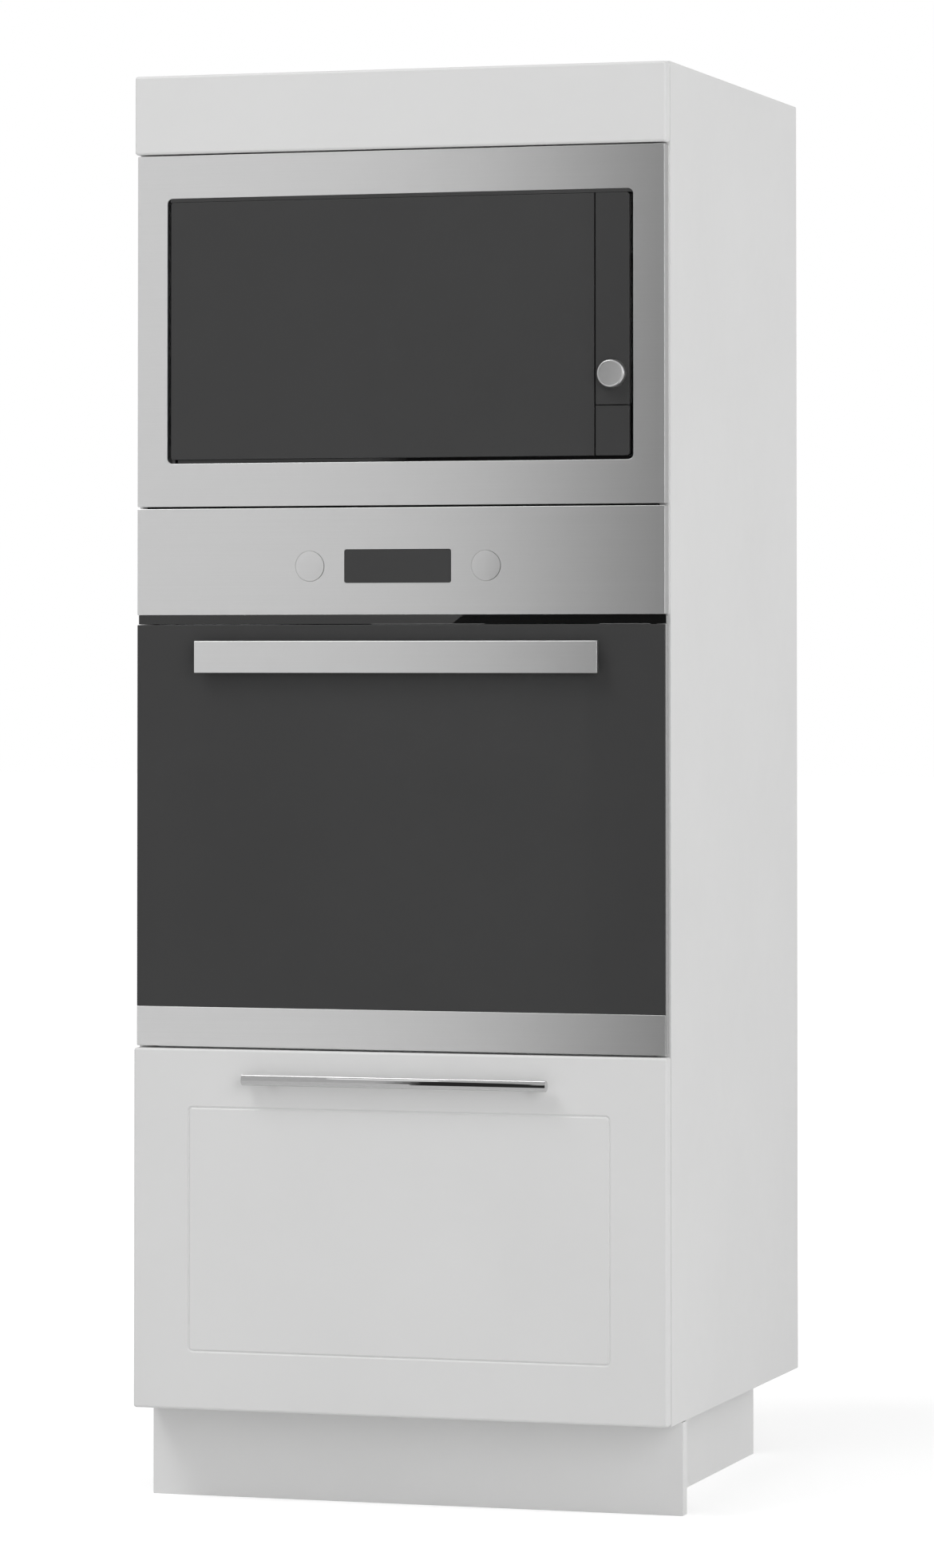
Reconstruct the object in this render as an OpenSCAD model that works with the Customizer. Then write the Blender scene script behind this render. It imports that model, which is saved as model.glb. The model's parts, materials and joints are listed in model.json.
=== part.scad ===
// Tall oven housing unit: drawer, built-in oven, built-in microwave and blind top fascia.
// X runs to the right seen from the front, Y runs from the front to the back, Z is up.

/* [Cabinet] */
// Overall width of the unit
cab_w = 600; // [590:1:640]
// Depth of the carcass sides, from front edge to rear edge
carcass_d = 560; // [550:1:620]
// Thickness of the carcass boards
panel_t = 16; // [15:0.5:19]
// Height of the space under the carcass
plinth_h = 100; // [80:1:160]
// Thickness of the drawer front and of the top fascia
front_t = 16; // [15:0.5:19]
// Gap between the back of the fronts and the carcass edge
front_stand = 2.5; // [2.5:0.1:4]
// Strip of carcass left bare above and below the fronts
front_reveal = 1.5; // [1:0.5:3]
// Gap between one front and the next
face_gap = 2.2; // [2:0.1:4]
// Height of the top fascia
fascia_h = 86; // [60:1:140]
// Corner radius of the lacquered fronts
front_r = 3; // [1:0.5:6]
// Thickness of the back boards
back_t = 8; // [3:0.5:12]
// Distance from the rear edge of the sides to the back boards
back_inset = 30; // [22:1:36]
// Height of the ventilation slot under the upper back board
vent_slot_h = 60; // [30:1:100]
// Size of the blocks that hold the fascia
fascia_block = 30; // [20:1:40]

/* [Plinth and legs] */
// Thickness of the plinth boards
plinth_t = 16; // [12:0.5:19]
// Distance of the plinth behind the fronts
plinth_set = 65; // [50:1:90]
// Distance of the side plinth boards inside the carcass sides
plinth_side_inset = 53; // [30:1:60]
// Gap between the plinth boards and the carcass floor
plinth_gap = 0.5; // [0.3:0.1:2]
// Radius of the leg's tube
leg_r = 16; // [12:0.5:20]
// Radius of the leg's foot
leg_foot_r = 26; // [22:0.5:30]
// Height of the leg's foot
leg_foot_h = 12; // [8:0.5:16]
// Radius of the leg's top plate
leg_plate_r = 34; // [28:0.5:36]
// Thickness of the leg's top plate
leg_plate_t = 4; // [3:0.5:6]
// Distance from the plinth boards to the leg axes
leg_inset = 42; // [38:1:60]

/* [Wall brackets] */
// Distance between the two wall brackets
bracket_pitch = 440; // [300:10:480]
// Width of a bracket
bracket_w = 36; // [25:1:50]
// Height of a bracket
bracket_h = 40; // [30:1:60]
// Sheet thickness of a bracket
bracket_t = 2; // [1.5:0.5:3]
// Radius of the wall screw hole
bracket_hole_r = 3; // [2:0.25:5]

/* [Drawer] */
// Height of the drawer front
drawer_front_h = 390; // [360:1:420]
// Distance from the edge of the front to the middle of its routed groove
field_margin = 63.5; // [50:0.5:90]
// Width of the routed groove
groove_w = 3.6; // [2.5:0.1:6]
// Depth of the routed groove
groove_depth = 1.2; // [0.8:0.1:3]
// Inner corner radius of the groove
groove_r = 2.4; // [1:0.1:8]
// Length of the drawer box
drawer_d = 500; // [450:1:515]
// Height of the drawer box
drawer_box_h = 200; // [120:1:240]
// Thickness of the drawer sides and back
drawer_side_t = 12; // [10:0.5:16]
// Thickness of the drawer bottom
drawer_bottom_t = 8; // [6:0.5:12]
// Height of the drawer box above the carcass floor
drawer_lift = 24; // [15:1:40]
// Height of the drawer bottom above the lower edge of the box
drawer_rebate = 6; // [3:0.5:12]

/* [Drawer runners] */
// Room for a runner on each side of the drawer box
runner_space = 13; // [13:0.5:16]
// Height of the cabinet member
runner_h = 45; // [40:0.5:50]
// Height of the drawer member
runner_inner_h = 28; // [24:0.5:30]
// Sheet thickness of the members
runner_t = 1.2; // [1:0.1:1.4]
// Running gap between the members
runner_gap = 0.3; // [0.25:0.05:0.5]
// Length of the members
runner_l = 480; // [400:1:495]
// Height of the runner axis above the lower edge of the box
runner_up = 60; // [40:1:80]

/* [Drawer handle] */
// Radius of the round bar
bar_r = 6; // [4:0.5:7]
// Length of the round bar
bar_l = 342; // [310:1:420]
// Distance of the bar's axis in front of the drawer front
bar_stand = 12.6; // [12:0.1:40]
// Radius of the posts
post_r = 5; // [3:0.5:5.5]
// Distance between the posts
post_pitch = 288; // [160:1:300]

/* [Oven] */
// Height of the oven's face, from its lower trim to its control panel
oven_h = 583.4; // [575:0.1:600]
// Bare strip on each side of an appliance face
app_side_gap = 2.5; // [1:0.5:4]
// Distance of the appliance faces behind the plane of the fronts
app_set = 3.1; // [1:0.1:3.5]
// Drop of a shelf below the appliance face that stands on it
shelf_drop = 1.7; // [1:0.1:3]
// Sheet thickness of the appliance faces
face_t = 1.2; // [0.8:0.1:1.5]
// Height of the control panel
control_h = 115.6; // [100:0.1:130]
// Height of the open strip between the control panel and the door
vent_gap = 10.7; // [8:0.1:14]
// Clearance between the blade in the open strip and the top of the door
strip_gap = 0.7; // [0.5:0.1:2]
// Height of the steel trim at the foot of the door
door_trim_h = 42.8; // [36:0.1:50]
// Thickness of the door's outer glass
glass_t = 4; // [3:0.5:5]
// Side gap between the oven's casing and the carcass sides
case_gap = 6; // [4:0.5:10]
// Air gap above the oven's casing
case_top_gap = 8; // [4:0.5:20]
// Depth of the oven's casing behind the carcass edge
oven_case_d = 540; // [525:1:548]
// Sheet thickness of the casings
case_t = 1; // [0.8:0.1:1.5]
// Sheet thickness of the oven's front frame
frame_t = 1.4; // [1.2:0.1:1.5]
// Overlap of the front frame on the carcass edges
frame_lap = 10; // [6:0.5:12]
// Clearance between the closed door and the front frame
door_gap = 1.5; // [1.2:0.1:2]

/* [Oven cavity] */
// Distance from the wall of the niche to the cavity's side wall
cavity_margin = 64; // [61:0.5:69]
// Height of the cavity
cavity_h = 340; // [330:1:345]
// Depth of the cavity
cavity_d = 410; // [400:1:420]
// Sheet thickness of the cavity
cavity_t = 1.2; // [0.8:0.1:2]
// Height of the cavity floor above the lower edge of the oven's face
cavity_lift = 81.3; // [76:0.1:85]
// Depth of the inner part of the door that plugs into the frame
plug_d = 22.4; // [18:0.1:26]
// Clearance around the plug of the door
plug_gap = 4; // [3:0.5:6]
// Margin from the side wall of the niche to the plug of the door
plug_margin = 30; // [28:0.5:32]
// Width of the door gasket
gasket_w = 8; // [6:0.5:10]
// Thickness of the door gasket
gasket_t = 2.2; // [1.5:0.1:3]
// Clearance between the gasket and the closed door
gasket_gap = 0.4; // [0.3:0.1:0.8]

/* [Oven racks] */
// Radius of the side racks' wire
rack_r = 2.5; // [2:0.1:3]
// Number of shelf levels
rack_levels = 5; // [3:1:6]
// Height of the lowest level above the cavity floor
rack_first = 35; // [30:1:40]
// Distance between two levels
rack_pitch = 60; // [45:1:62]
// Distance from the cavity wall to the axis of the rails
rack_stand = 9; // [8:0.5:10]
// Depth of the shelf and the tray
shelf_d = 330; // [300:1:340]
// Radius of the shelf's border wire
grid_r = 3; // [2.5:0.1:3.5]
// Radius of the shelf's thin wires
grid_thin_r = 1.5; // [1:0.1:2]
// Number of thin wires
grid_wires = 15; // [9:2:21]
// Depth of the baking tray
tray_h = 20; // [15:1:24]
// Sheet thickness of the tray
tray_t = 1.2; // [0.8:0.1:2]
// Width of the tray's rim
tray_rim = 12; // [10:0.5:14]

/* [Oven fan and heating] */
// Radius of the fan wheel
fan_r = 68; // [55:1:72]
// Number of fan blades
fan_blades = 8; // [6:1:12]
// Depth of the fan blades
fan_d = 16; // [12:1:20]
// Radius of the fan's shaft
fan_shaft_r = 3; // [2.5:0.1:4]
// Running clearance of shafts in their bearings
shaft_gap = 0.05; // [0.03:0.01:0.09]
// Radius of the fan motor
motor_r = 38; // [30:1:45]
// Length of the fan motor
motor_l = 46; // [40:1:60]
// Radius of the ring heater's centreline
ring_r = 92; // [86:1:96]
// Radius of the heating tubes
heater_r = 4; // [3:0.1:4]
// Depth of the fan cover in front of the cavity's rear wall
cover_d = 40; // [38:1:48]
// Half width of the fan cover
cover_hw = 150; // [120:1:160]
// Half height of the fan cover
cover_hh = 120; // [108:1:125]
// Radius of the holes in the fan cover
cover_hole_r = 5; // [3:0.5:6]
// Radius of the oven lamp
lamp_r = 20; // [14:1:22]

/* [Oven door hinge and handle] */
// Height of the hinge axis above the lower edge of the door
hinge_up = 8.3; // [7.8:0.1:8.6]
// Distance of the hinge axis behind the plane of the fronts
hinge_y = 8; // [7.8:0.1:8.2]
// Radius of the hinge pins
hinge_pin_r = 2.5; // [2:0.1:2.6]
// Radius of the hinge arm's eye
hinge_eye_r = 3.2; // [3:0.1:3.3]
// Width of a hinge arm
hinge_arm_w = 7; // [5:0.5:8]
// Width of a hinge ear
hinge_ear_w = 6; // [5:0.5:8]
// Length of a hinge arm behind the carcass edge
hinge_arm_l = 42; // [30:1:60]
// Length of the foot that holds a hinge arm under the front frame
hinge_foot_l = 20; // [10:1:22]
// Side gap between a hinge arm and its ears
hinge_side_gap = 0.4; // [0.3:0.1:0.6]
// Distance from the plug's edge to the hinge arms
hinge_inset = 22; // [18:1:30]
// Length of the handle plate
handle_l = 453.6; // [300:0.1:500]
// Height of the handle plate
handle_h = 34.5; // [25:0.1:45]
// Thickness of the handle plate
handle_t = 6; // [4:0.1:8]
// Distance of the handle's face in front of the door glass
handle_stand = 15.1; // [13:0.1:40]
// Distance of the handle's upper edge below the door's upper edge
handle_drop = 17.5; // [12:0.1:60]
// Distance between the handle posts
handle_pitch = 400; // [200:1:420]
// Radius of the handle posts
handle_post_r = 7; // [4:0.5:10]

/* [Oven controls] */
// Distance between the two knobs
knob_pitch = 198.8; // [190:0.1:240]
// Radius of a knob
knob_r = 16.3; // [14:0.1:18]
// Gap between a knob and the edge of its hole
knob_gap = 0.6; // [0.4:0.1:1.2]
// Length of a knob
knob_l = 16; // [14:0.5:17]
// Thickness of a knob's face in front of its bore
knob_wall = 4; // [3:0.5:6]
// Height of the knob axes above the lower edge of the control panel
knob_up = 52.4; // [45:0.1:60]
// Radius of the knob shafts
knob_shaft_r = 3; // [2.5:0.1:4]
// Radius of the collar on a knob shaft
collar_r = 5; // [4.5:0.1:7]
// Distance of the switch bracket behind the carcass edge
switch_set = 21.5; // [20:0.5:23]
// Height of the switch bracket above the knob axes
switch_up = 26; // [22:1:32]
// Depth of the knob shafts behind the carcass edge
shaft_end = 40; // [36:1:44]
// Size of a switch behind the panel
switch_w = 40; // [30:1:50]
// Depth of a switch behind the panel
switch_d = 16; // [12:1:18]
// Width of the display
display_w = 120.6; // [80:0.1:130]
// Height of the display
display_h = 36.4; // [20:0.1:50]

/* [Microwave] */
// Height of the microwave's trim frame
mw_h = 383; // [378:1:400]
// Width of the trim frame beside its cut-out
cut_margin = 34.5; // [30:0.5:37]
// Height of the cut-out in the trim frame
cut_h = 289; // [285:1:296]
// Height of the cut-out above the lower edge of the trim frame
cut_up = 47; // [44:0.5:50]
// Corner radius of the cut-out
cut_r = 6; // [4:0.5:8]
// Gap between the cut-out and the black front
cut_gap = 4.3; // [4:0.1:5]
// Depth of the trim frame's edge
trim_d = 11; // [6:0.5:13]
// Depth of the seat behind the black front
seat_y = 10.2; // [10:0.1:10.6]
// Thickness of the bezel behind the seat
bezel_t = 2.8; // [2:0.1:4]
// Width of the bezel behind the edges of the cut-out
bezel_lap = 10; // [8:0.5:12]
// Width of the control strip
strip_w = 37.4; // [36:0.1:44]
// Gap between the door and the control strip
seam = 1.5; // [1:0.1:2]
// Distance of the bezel's opening inside the cut-out
mouth_inset = 13; // [12:0.5:15]
// Depth of the bezel's collar behind the seat
collar_d = 23; // [20:1:30]
// Gap between the door's inner part and the collar
choke_gap = 4; // [3:0.5:6]
// Gap between the microwave's casing and the wall of its niche
mw_case_gap = 14; // [12:0.5:16]
// Depth of the microwave's casing
mw_case_d = 400; // [390:1:440]
// Clearance under the microwave's casing
mw_foot_h = 3; // [2:0.5:6]
// Distance of the casing's feet from its edges
mw_foot_inset = 40; // [20:1:60]
// Radius of the casing's feet
mw_foot_r = 12; // [8:0.5:18]
// Height of the microwave's casing
mw_case_h = 352; // [349:1:370]

/* [Microwave cavity] */
// Height of the cavity
mwc_h = 220; // [200:1:230]
// Depth of the cavity
mwc_d = 340; // [330:1:350]
// Distance from the collar to the cavity's left wall
mwc_left = 25; // [20:1:30]
// Distance from the collar to the cavity's right wall
mwc_right = 76; // [60:1:90]
// Height of the cavity floor above the lower edge of the mouth
mwc_up = 20; // [16:1:26]
// Radius of the turntable
turntable_r = 138; // [120:1:145]
// Thickness of the turntable
turntable_t = 4; // [3:0.5:6]
// Height of the turntable above the cavity floor
turntable_up = 12; // [12:0.5:16]
// Radius of the drive coupler
coupler_r = 14; // [10:0.5:16]
// Radius of the coupler's shaft
coupler_shaft_r = 4; // [3:0.1:5]
// Radius of the roller ring
roller_ring_r = 95; // [80:1:105]

/* [Microwave controls] */
// Radius of the microwave's knob
mw_knob_r = 15.4; // [13:0.1:16.5]
// Height of the microwave's knob in front of its strip
mw_knob_l = 9.6; // [8:0.1:14]
// Height of the knob's axis above the lower edge of the strip
mw_knob_up = 87; // [78:0.1:120]
// Height of the door button
button_h = 53; // [40:0.1:60]
// Thickness of the door button
button_t = 4; // [3.5:0.1:4.1]
// Seam above the door button
button_seam = 1.2; // [0.6:0.1:2]

/* [Microwave door hinge] */
// Distance of the hinge axis from the door's edge
mw_hinge_x = 2.5; // [2.4:0.1:2.6]
// Distance of the hinge axis behind the plane of the fronts
mw_hinge_y = 6.4; // [6.3:0.1:6.5]
// Radius of the hinge pins
mw_pin_r = 1.5; // [1:0.1:1.5]
// Length of a pin inside the bezel
mw_pin_l = 6; // [4:0.5:8]
// Thickness of the door's glass
mw_glass_t = 2; // [1.5:0.1:2.2]
// Thickness of the door's plate behind the glass
mw_plate_t = 3.5; // [3:0.1:3.5]
// Width of the door's frame around the window
mw_frame_w = 26; // [22:1:40]

/* [Hidden] */
$fn = 96;
slack = 0.3;
cut = 1;

// Widths, as half widths from the middle plane
half_w = cab_w / 2;
in_w = half_w - panel_t;
app_hw = half_w - app_side_gap;
case_hw = in_w - case_gap;
box_hw = in_w - runner_space;
plug_hw = in_w - plug_margin;
cavity_hw = in_w - cavity_margin;
tunnel_hw = plug_hw + plug_gap;

// Depths, from the plane of the fronts
carcass_y = front_t + front_stand;
rear_y = carcass_y + carcass_d;
back_y = rear_y - back_inset;
plinth_y = plinth_set + plinth_t;
door_back_y = carcass_y - frame_t - door_gap;
plug_y = door_back_y + plug_d;
gasket_y = plug_y + gasket_gap;
mouth_y = gasket_y + gasket_t;
cavity_y = mouth_y + frame_t;
cavity_rear_y = cavity_y + cavity_d;
handle_y = app_set - handle_stand;

// The origin lies on the floor, below the middle of the whole depth with the handles
front_reach = max(bar_stand + bar_r, -handle_y);
front_plane_y = -(rear_y - front_reach) / 2;

// Heights
drawer_z = plinth_h + front_reveal;
drawer_top_z = drawer_z + drawer_front_h;
oven_z = drawer_top_z + face_gap;
oven_top_z = oven_z + oven_h;
mw_z = oven_top_z + face_gap;
mw_top_z = mw_z + mw_h;
fascia_z = mw_top_z + front_reveal;
fascia_top_z = fascia_z + fascia_h;
cab_top_z = fascia_top_z + front_reveal;
floor_z = plinth_h + panel_t;
oven_shelf_z = oven_z - shelf_drop;
mw_shelf_z = mw_z - shelf_drop;
top_panel_z = cab_top_z - panel_t;
box_z = floor_z + drawer_lift;
box_floor_z = box_z + drawer_rebate + drawer_bottom_t;
box_top_z = box_z + drawer_box_h;
runner_z = box_z + runner_up;
control_z = oven_top_z - control_h;
door_top_z = control_z - vent_gap;
trim_top_z = oven_z + door_trim_h;
case_top_z = mw_shelf_z - panel_t - case_top_gap;
cavity_z = oven_z + cavity_lift;
cavity_top_z = cavity_z + cavity_h;
fan_z = cavity_z + cavity_h / 2;
knob_z = control_z + knob_up;
handle_top_z = door_top_z - handle_drop;

// Oven door: the plug and the hinge
door_edge = 2;
plug_z = trim_top_z - 10;
plug_top_z = door_top_z - 10;
hinge_z = oven_z + hinge_up;
hinge_x = plug_hw - hinge_inset;
hinge_ear_x = hinge_x - hinge_arm_w / 2 - hinge_side_gap - hinge_ear_w;
hinge_span = hinge_arm_w + 2 * (hinge_side_gap + hinge_ear_w);
rail_z = hinge_z + hinge_eye_r + slack + 2.5;
flange_z = hinge_z + hinge_up + 3.4;
ear_back_y = hinge_y + 3;
window_hw = cavity_hw;
window_z = cavity_z - 8;
window_top_z = cavity_top_z - 8;

// Racks: level heights and the place of the shelf and the tray
rail_x = cavity_hw - rack_stand;
upright_x = rail_x + 2 * rack_r - 0.5;
rack_y = cavity_y + 28;
tray_level_z = cavity_z + rack_first;
shelf_level_z = tray_level_z + 2 * rack_pitch;

// Microwave: the cut-out, the strip, the door and the seat
cut_hw = app_hw - cut_margin;
cut_z = mw_z + cut_up;
cut_top_z = cut_z + cut_h;
black_hw = cut_hw - cut_gap;
black_z = cut_z + cut_gap;
black_top_z = cut_top_z - cut_gap;
strip_x = black_hw - strip_w;
strip_mid_x = black_hw - strip_w / 2;
mw_door_x = strip_x - seam;
bezel_hw = cut_hw + bezel_lap;
bezel_z = cut_z - bezel_lap;
bezel_top_z = cut_top_z + bezel_lap;
bezel_back_y = seat_y + bezel_t;
mouth_x = mouth_inset - cut_hw;
mouth_right_x = mw_door_x - mouth_inset + cut_gap;
mouth_z = cut_z + mouth_inset;
mouth_top_z = cut_top_z - mouth_inset;
collar_t = 2.5;
collar_y = bezel_back_y + collar_d;
mw_front_t = 2;
mwc_x = mouth_x + mwc_left;
mwc_right_x = mouth_right_x - mwc_right;
mwc_z = mouth_z + mwc_up;
mwc_y = collar_y + mw_front_t;
mwc_mid_x = (mwc_x + mwc_right_x) / 2;
mwc_mid_y = mwc_y + mwc_d / 2;
mw_case_hw = in_w - mw_case_gap;
mw_case_z = mw_shelf_z + mw_foot_h;
mw_axis_x = mw_hinge_x - black_hw;
mw_plate_y = app_set + mw_glass_t + mw_plate_t;
choke_back_y = collar_y - 1.5;
hook_x = mouth_right_x - choke_gap - 14;
mw_knob_z = black_z + mw_knob_up;
button_top_z = black_z + button_h;
turntable_z = mwc_z + turntable_up;

// Colours
WHITE = [0.86, 0.86, 0.86];
BOARD = [0.9, 0.9, 0.89];
STEEL = [0.66, 0.66, 0.66];
ZINC = [0.62, 0.64, 0.65];
CHROME = [0.8, 0.8, 0.82];
BLACK = [0.06, 0.06, 0.065];
ENAMEL = [0.13, 0.13, 0.14];
DARK = [0.1, 0.1, 0.1];
PALE = [0.75, 0.77, 0.78];
RED = [0.45, 0.16, 0.1];
CLEAR = [0.7, 0.78, 0.78, 0.5];

// ---- Helpers ----

// Puts a piece drawn from the plane of the fronts into the unit's own frame
module in_frame() {
    translate([0, front_plane_y, 0]) children();
}

// Box between its lowest and its highest corner
module block(low, high) {
    translate(low) cube(high - low);
}

// The piece and its mirror image on the other side
module both_sides() {
    children();
    mirror([1, 0, 0]) children();
}

module rounded_rect(w, h, r) {
    square([w - 2 * r, h], center = true);
    square([w, h - 2 * r], center = true);
    for (x = [-1, 1], z = [-1, 1]) {
        translate([x * (w / 2 - r), z * (h / 2 - r)]) circle(r);
    }
}

// Upright plate between two corners, its outline rounded by r
module plate(low, high, r) {
    size = high - low;
    translate([(low.x + high.x) / 2, high.y, (low.z + high.z) / 2])
        rotate([90, 0, 0])
            linear_extrude(size.y) rounded_rect(size.x, size.z, r);
}

module rod_x(from, to, r) {
    translate(from) rotate([0, 90, 0]) cylinder(h = to - from.x, r = r);
}

module rod_y(from, to, r) {
    translate(from) rotate([-90, 0, 0]) cylinder(h = to - from.y, r = r);
}

module rod_z(from, to, r) {
    translate(from) cylinder(h = to - from.z, r = r);
}

// Tall frame between two corners with a smaller opening
module ring_frame(low, high, hole_low, hole_high) {
    difference() {
        block(low, high);
        block([hole_low.x, low.y - cut, hole_low.z], [hole_high.x, high.y + cut, hole_high.z]);
    }
}

// ---- Carcass ----

module side_panel() {
    color(WHITE) block([in_w, carcass_y, plinth_h], [half_w, rear_y, cab_top_z]);
}

module side_panel_right() {
    side_panel();
}

module side_panel_left() {
    mirror([1, 0, 0]) side_panel();
}

// Board across the carcass with its upper face at top
module shelf_board(top) {
    color(BOARD) block([-in_w, carcass_y, top - panel_t], [in_w, rear_y, top]);
}

module base_panel() {
    shelf_board(floor_z);
}

module oven_shelf() {
    shelf_board(oven_shelf_z);
}

module microwave_shelf() {
    shelf_board(mw_shelf_z);
}

module top_panel() {
    shelf_board(cab_top_z);
}

module back_panels() {
    color(BOARD) {
        block([-in_w, back_y - back_t, floor_z], [in_w, back_y, oven_shelf_z - panel_t]);
        block([-in_w, back_y - back_t, mw_shelf_z + vent_slot_h], [in_w, back_y, top_panel_z]);
    }
}

module top_fascia() {
    color(WHITE) plate([-half_w, 0, fascia_z], [half_w, front_t, fascia_top_z], front_r);
}

// Blocks that tie the fascia to the inside of the carcass sides
module fascia_blocks() {
    middle = (fascia_z + top_panel_z) / 2;
    color(BOARD) both_sides()
        block([in_w - fascia_block, front_t, middle - fascia_block / 2],
              [in_w, carcass_y + fascia_block, middle + fascia_block / 2]);
}

module wall_bracket() {
    difference() {
        union() {
            block([-bracket_w / 2, rear_y - bracket_t, top_panel_z - bracket_h],
                  [bracket_w / 2, rear_y, top_panel_z]);
            block([-bracket_w / 2, back_y, top_panel_z - bracket_t],
                  [bracket_w / 2, rear_y, top_panel_z]);
        }
        rod_y([0, rear_y - bracket_t - cut, top_panel_z - bracket_h / 2], rear_y + cut, bracket_hole_r);
    }
}

module wall_brackets() {
    color(ZINC) both_sides() translate([bracket_pitch / 2, 0, 0]) wall_bracket();
}

// ---- Plinth and legs ----

module plinth_front() {
    color(WHITE) block([-half_w, plinth_set, 0], [half_w, plinth_y, plinth_h - plinth_gap]);
}

module plinth_sides() {
    outer = half_w - plinth_side_inset;
    color(WHITE) both_sides()
        block([outer - plinth_t, plinth_y, 0], [outer, rear_y, plinth_h - plinth_gap]);
}

module leg() {
    profile = [
        [0, 0], [leg_foot_r, 0], [leg_foot_r, leg_foot_h / 2], [leg_r, leg_foot_h],
        [leg_r, plinth_h - leg_plate_t], [leg_plate_r, plinth_h - leg_plate_t],
        [leg_plate_r, plinth_h], [0, plinth_h]
    ];
    rotate_extrude() polygon(profile);
}

module adjustable_legs() {
    x = half_w - plinth_side_inset - plinth_t - leg_inset;
    color(DARK) both_sides() {
        translate([x, plinth_y + leg_inset, 0]) leg();
        translate([x, rear_y - leg_inset, 0]) leg();
    }
}

// ---- Drawer ----

// Plate that covers the field of the drawer front, drawn in from the edge of the front
module field_plate(inset, depth, r) {
    plate([inset - half_w, -cut, drawer_z + inset],
          [half_w - inset, depth, drawer_top_z - inset], r);
}

module drawer_front() {
    color(WHITE) difference() {
        plate([-half_w, 0, drawer_z], [half_w, front_t, drawer_top_z], front_r);
        difference() {
            field_plate(field_margin - groove_w / 2, groove_depth, groove_r + groove_w);
            translate([0, -cut, 0])
                field_plate(field_margin + groove_w / 2, groove_depth + 3 * cut, groove_r);
        }
    }
}

module drawer_sides() {
    color(BOARD) both_sides()
        block([box_hw - drawer_side_t, front_t, box_z], [box_hw, front_t + drawer_d, box_top_z]);
}

module drawer_back() {
    inner = box_hw - drawer_side_t;
    color(BOARD) block([-inner, front_t + drawer_d - drawer_side_t, box_z + drawer_rebate],
                       [inner, front_t + drawer_d, box_top_z]);
}

module drawer_bottom() {
    inner = box_hw - drawer_side_t;
    color(BOARD) block([-inner, front_t, box_z + drawer_rebate],
                       [inner, front_t + drawer_d - drawer_side_t, box_floor_z]);
}

module drawer_handle() {
    z = drawer_top_z - field_margin / 2;
    color(CHROME) {
        rod_x([-bar_l / 2, -bar_stand, z], bar_l / 2, bar_r);
        both_sides() rod_y([post_pitch / 2, -bar_stand, z], 0, post_r);
    }
}

// Profile of a channel, its web at x = web and its flanges reaching to x = tip
module channel(web, tip, h) {
    inward = tip > web ? runner_t : -runner_t;
    translate([min(web, web + inward), -h / 2]) square([runner_t, h]);
    for (side = [-1, 1]) {
        translate([min(web, tip), side * (h - runner_t) / 2 - runner_t / 2])
            square([abs(tip - web), runner_t]);
    }
}

module runner_member() {
    translate([0, carcass_y + front_stand + runner_l, runner_z])
        rotate([90, 0, 0])
            linear_extrude(runner_l) children();
}

runner_mid_x = box_hw + runner_t + 3.8;
runner_in_lip = 2 * (runner_t + runner_gap);

module runner_cabinet_members() {
    color(ZINC) both_sides() runner_member() channel(in_w, runner_mid_x - 1.6, runner_h);
}

module runner_middle() {
    color(ZINC) runner_member() {
        channel(runner_mid_x, in_w - runner_t - 0.6, runner_h - runner_in_lip);
        channel(runner_mid_x + runner_t, box_hw + runner_t + 0.8, runner_inner_h + runner_in_lip);
    }
}

module runner_middle_right() {
    runner_middle();
}

module runner_middle_left() {
    mirror([1, 0, 0]) runner_middle();
}

module runner_drawer_members() {
    color(ZINC) both_sides() runner_member() channel(box_hw, runner_mid_x - 0.6, runner_inner_h);
}

// ---- Oven body ----

module oven_casing() {
    rear = carcass_y + oven_case_d;
    slot_h = 5;
    color(ZINC) {
        difference() {
            block([-case_hw, carcass_y, oven_shelf_z], [case_hw, rear, case_top_z]);
            block([case_t - case_hw, carcass_y - cut, oven_shelf_z + case_t],
                  [case_hw - case_t, rear - case_t, case_top_z - case_t]);
            for (row = [0:7], side = [-1, 1]) {
                translate([side * case_hw / 2, rear, case_top_z - 24 - 2.4 * slot_h * row])
                    cube([case_hw / 2, 4 * case_t, slot_h], center = true);
            }
        }
        // Terminal box on the rear wall
        block([case_hw / 2, rear, oven_shelf_z + 30], [case_hw - 30, rear + 12, oven_shelf_z + 80]);
    }
}

module oven_cavity() {
    hw = cavity_hw;
    color(ENAMEL) difference() {
        block([-hw - cavity_t, cavity_y, cavity_z - cavity_t],
              [hw + cavity_t, cavity_rear_y + cavity_t, cavity_top_z + cavity_t]);
        block([-hw, cavity_y - cut, cavity_z], [hw, cavity_rear_y, cavity_top_z]);
        rod_y([0, cavity_rear_y - cut, fan_z], cavity_rear_y + cavity_t + cut, 2 * fan_shaft_r);
    }
}

// Flange on the carcass edges, tunnel around the door's plug and plate around the cavity's mouth
module oven_front_frame() {
    hw = cavity_hw;
    low = plug_z - plug_gap;
    high = plug_top_z + plug_gap;
    wall = tunnel_hw + frame_t;
    color(ZINC) {
        ring_frame([-in_w - frame_lap, carcass_y - frame_t, flange_z],
                   [in_w + frame_lap, carcass_y, door_top_z - door_edge],
                   [-tunnel_hw, 0, low], [tunnel_hw, 0, high]);
        ring_frame([-wall, carcass_y - frame_t, low - frame_t], [wall, mouth_y, high + frame_t],
                   [-tunnel_hw, 0, low], [tunnel_hw, 0, high]);
        ring_frame([-wall, mouth_y, low - frame_t], [wall, cavity_y, high + frame_t],
                   [-hw, 0, cavity_z], [hw, 0, cavity_top_z]);
    }
}

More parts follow.
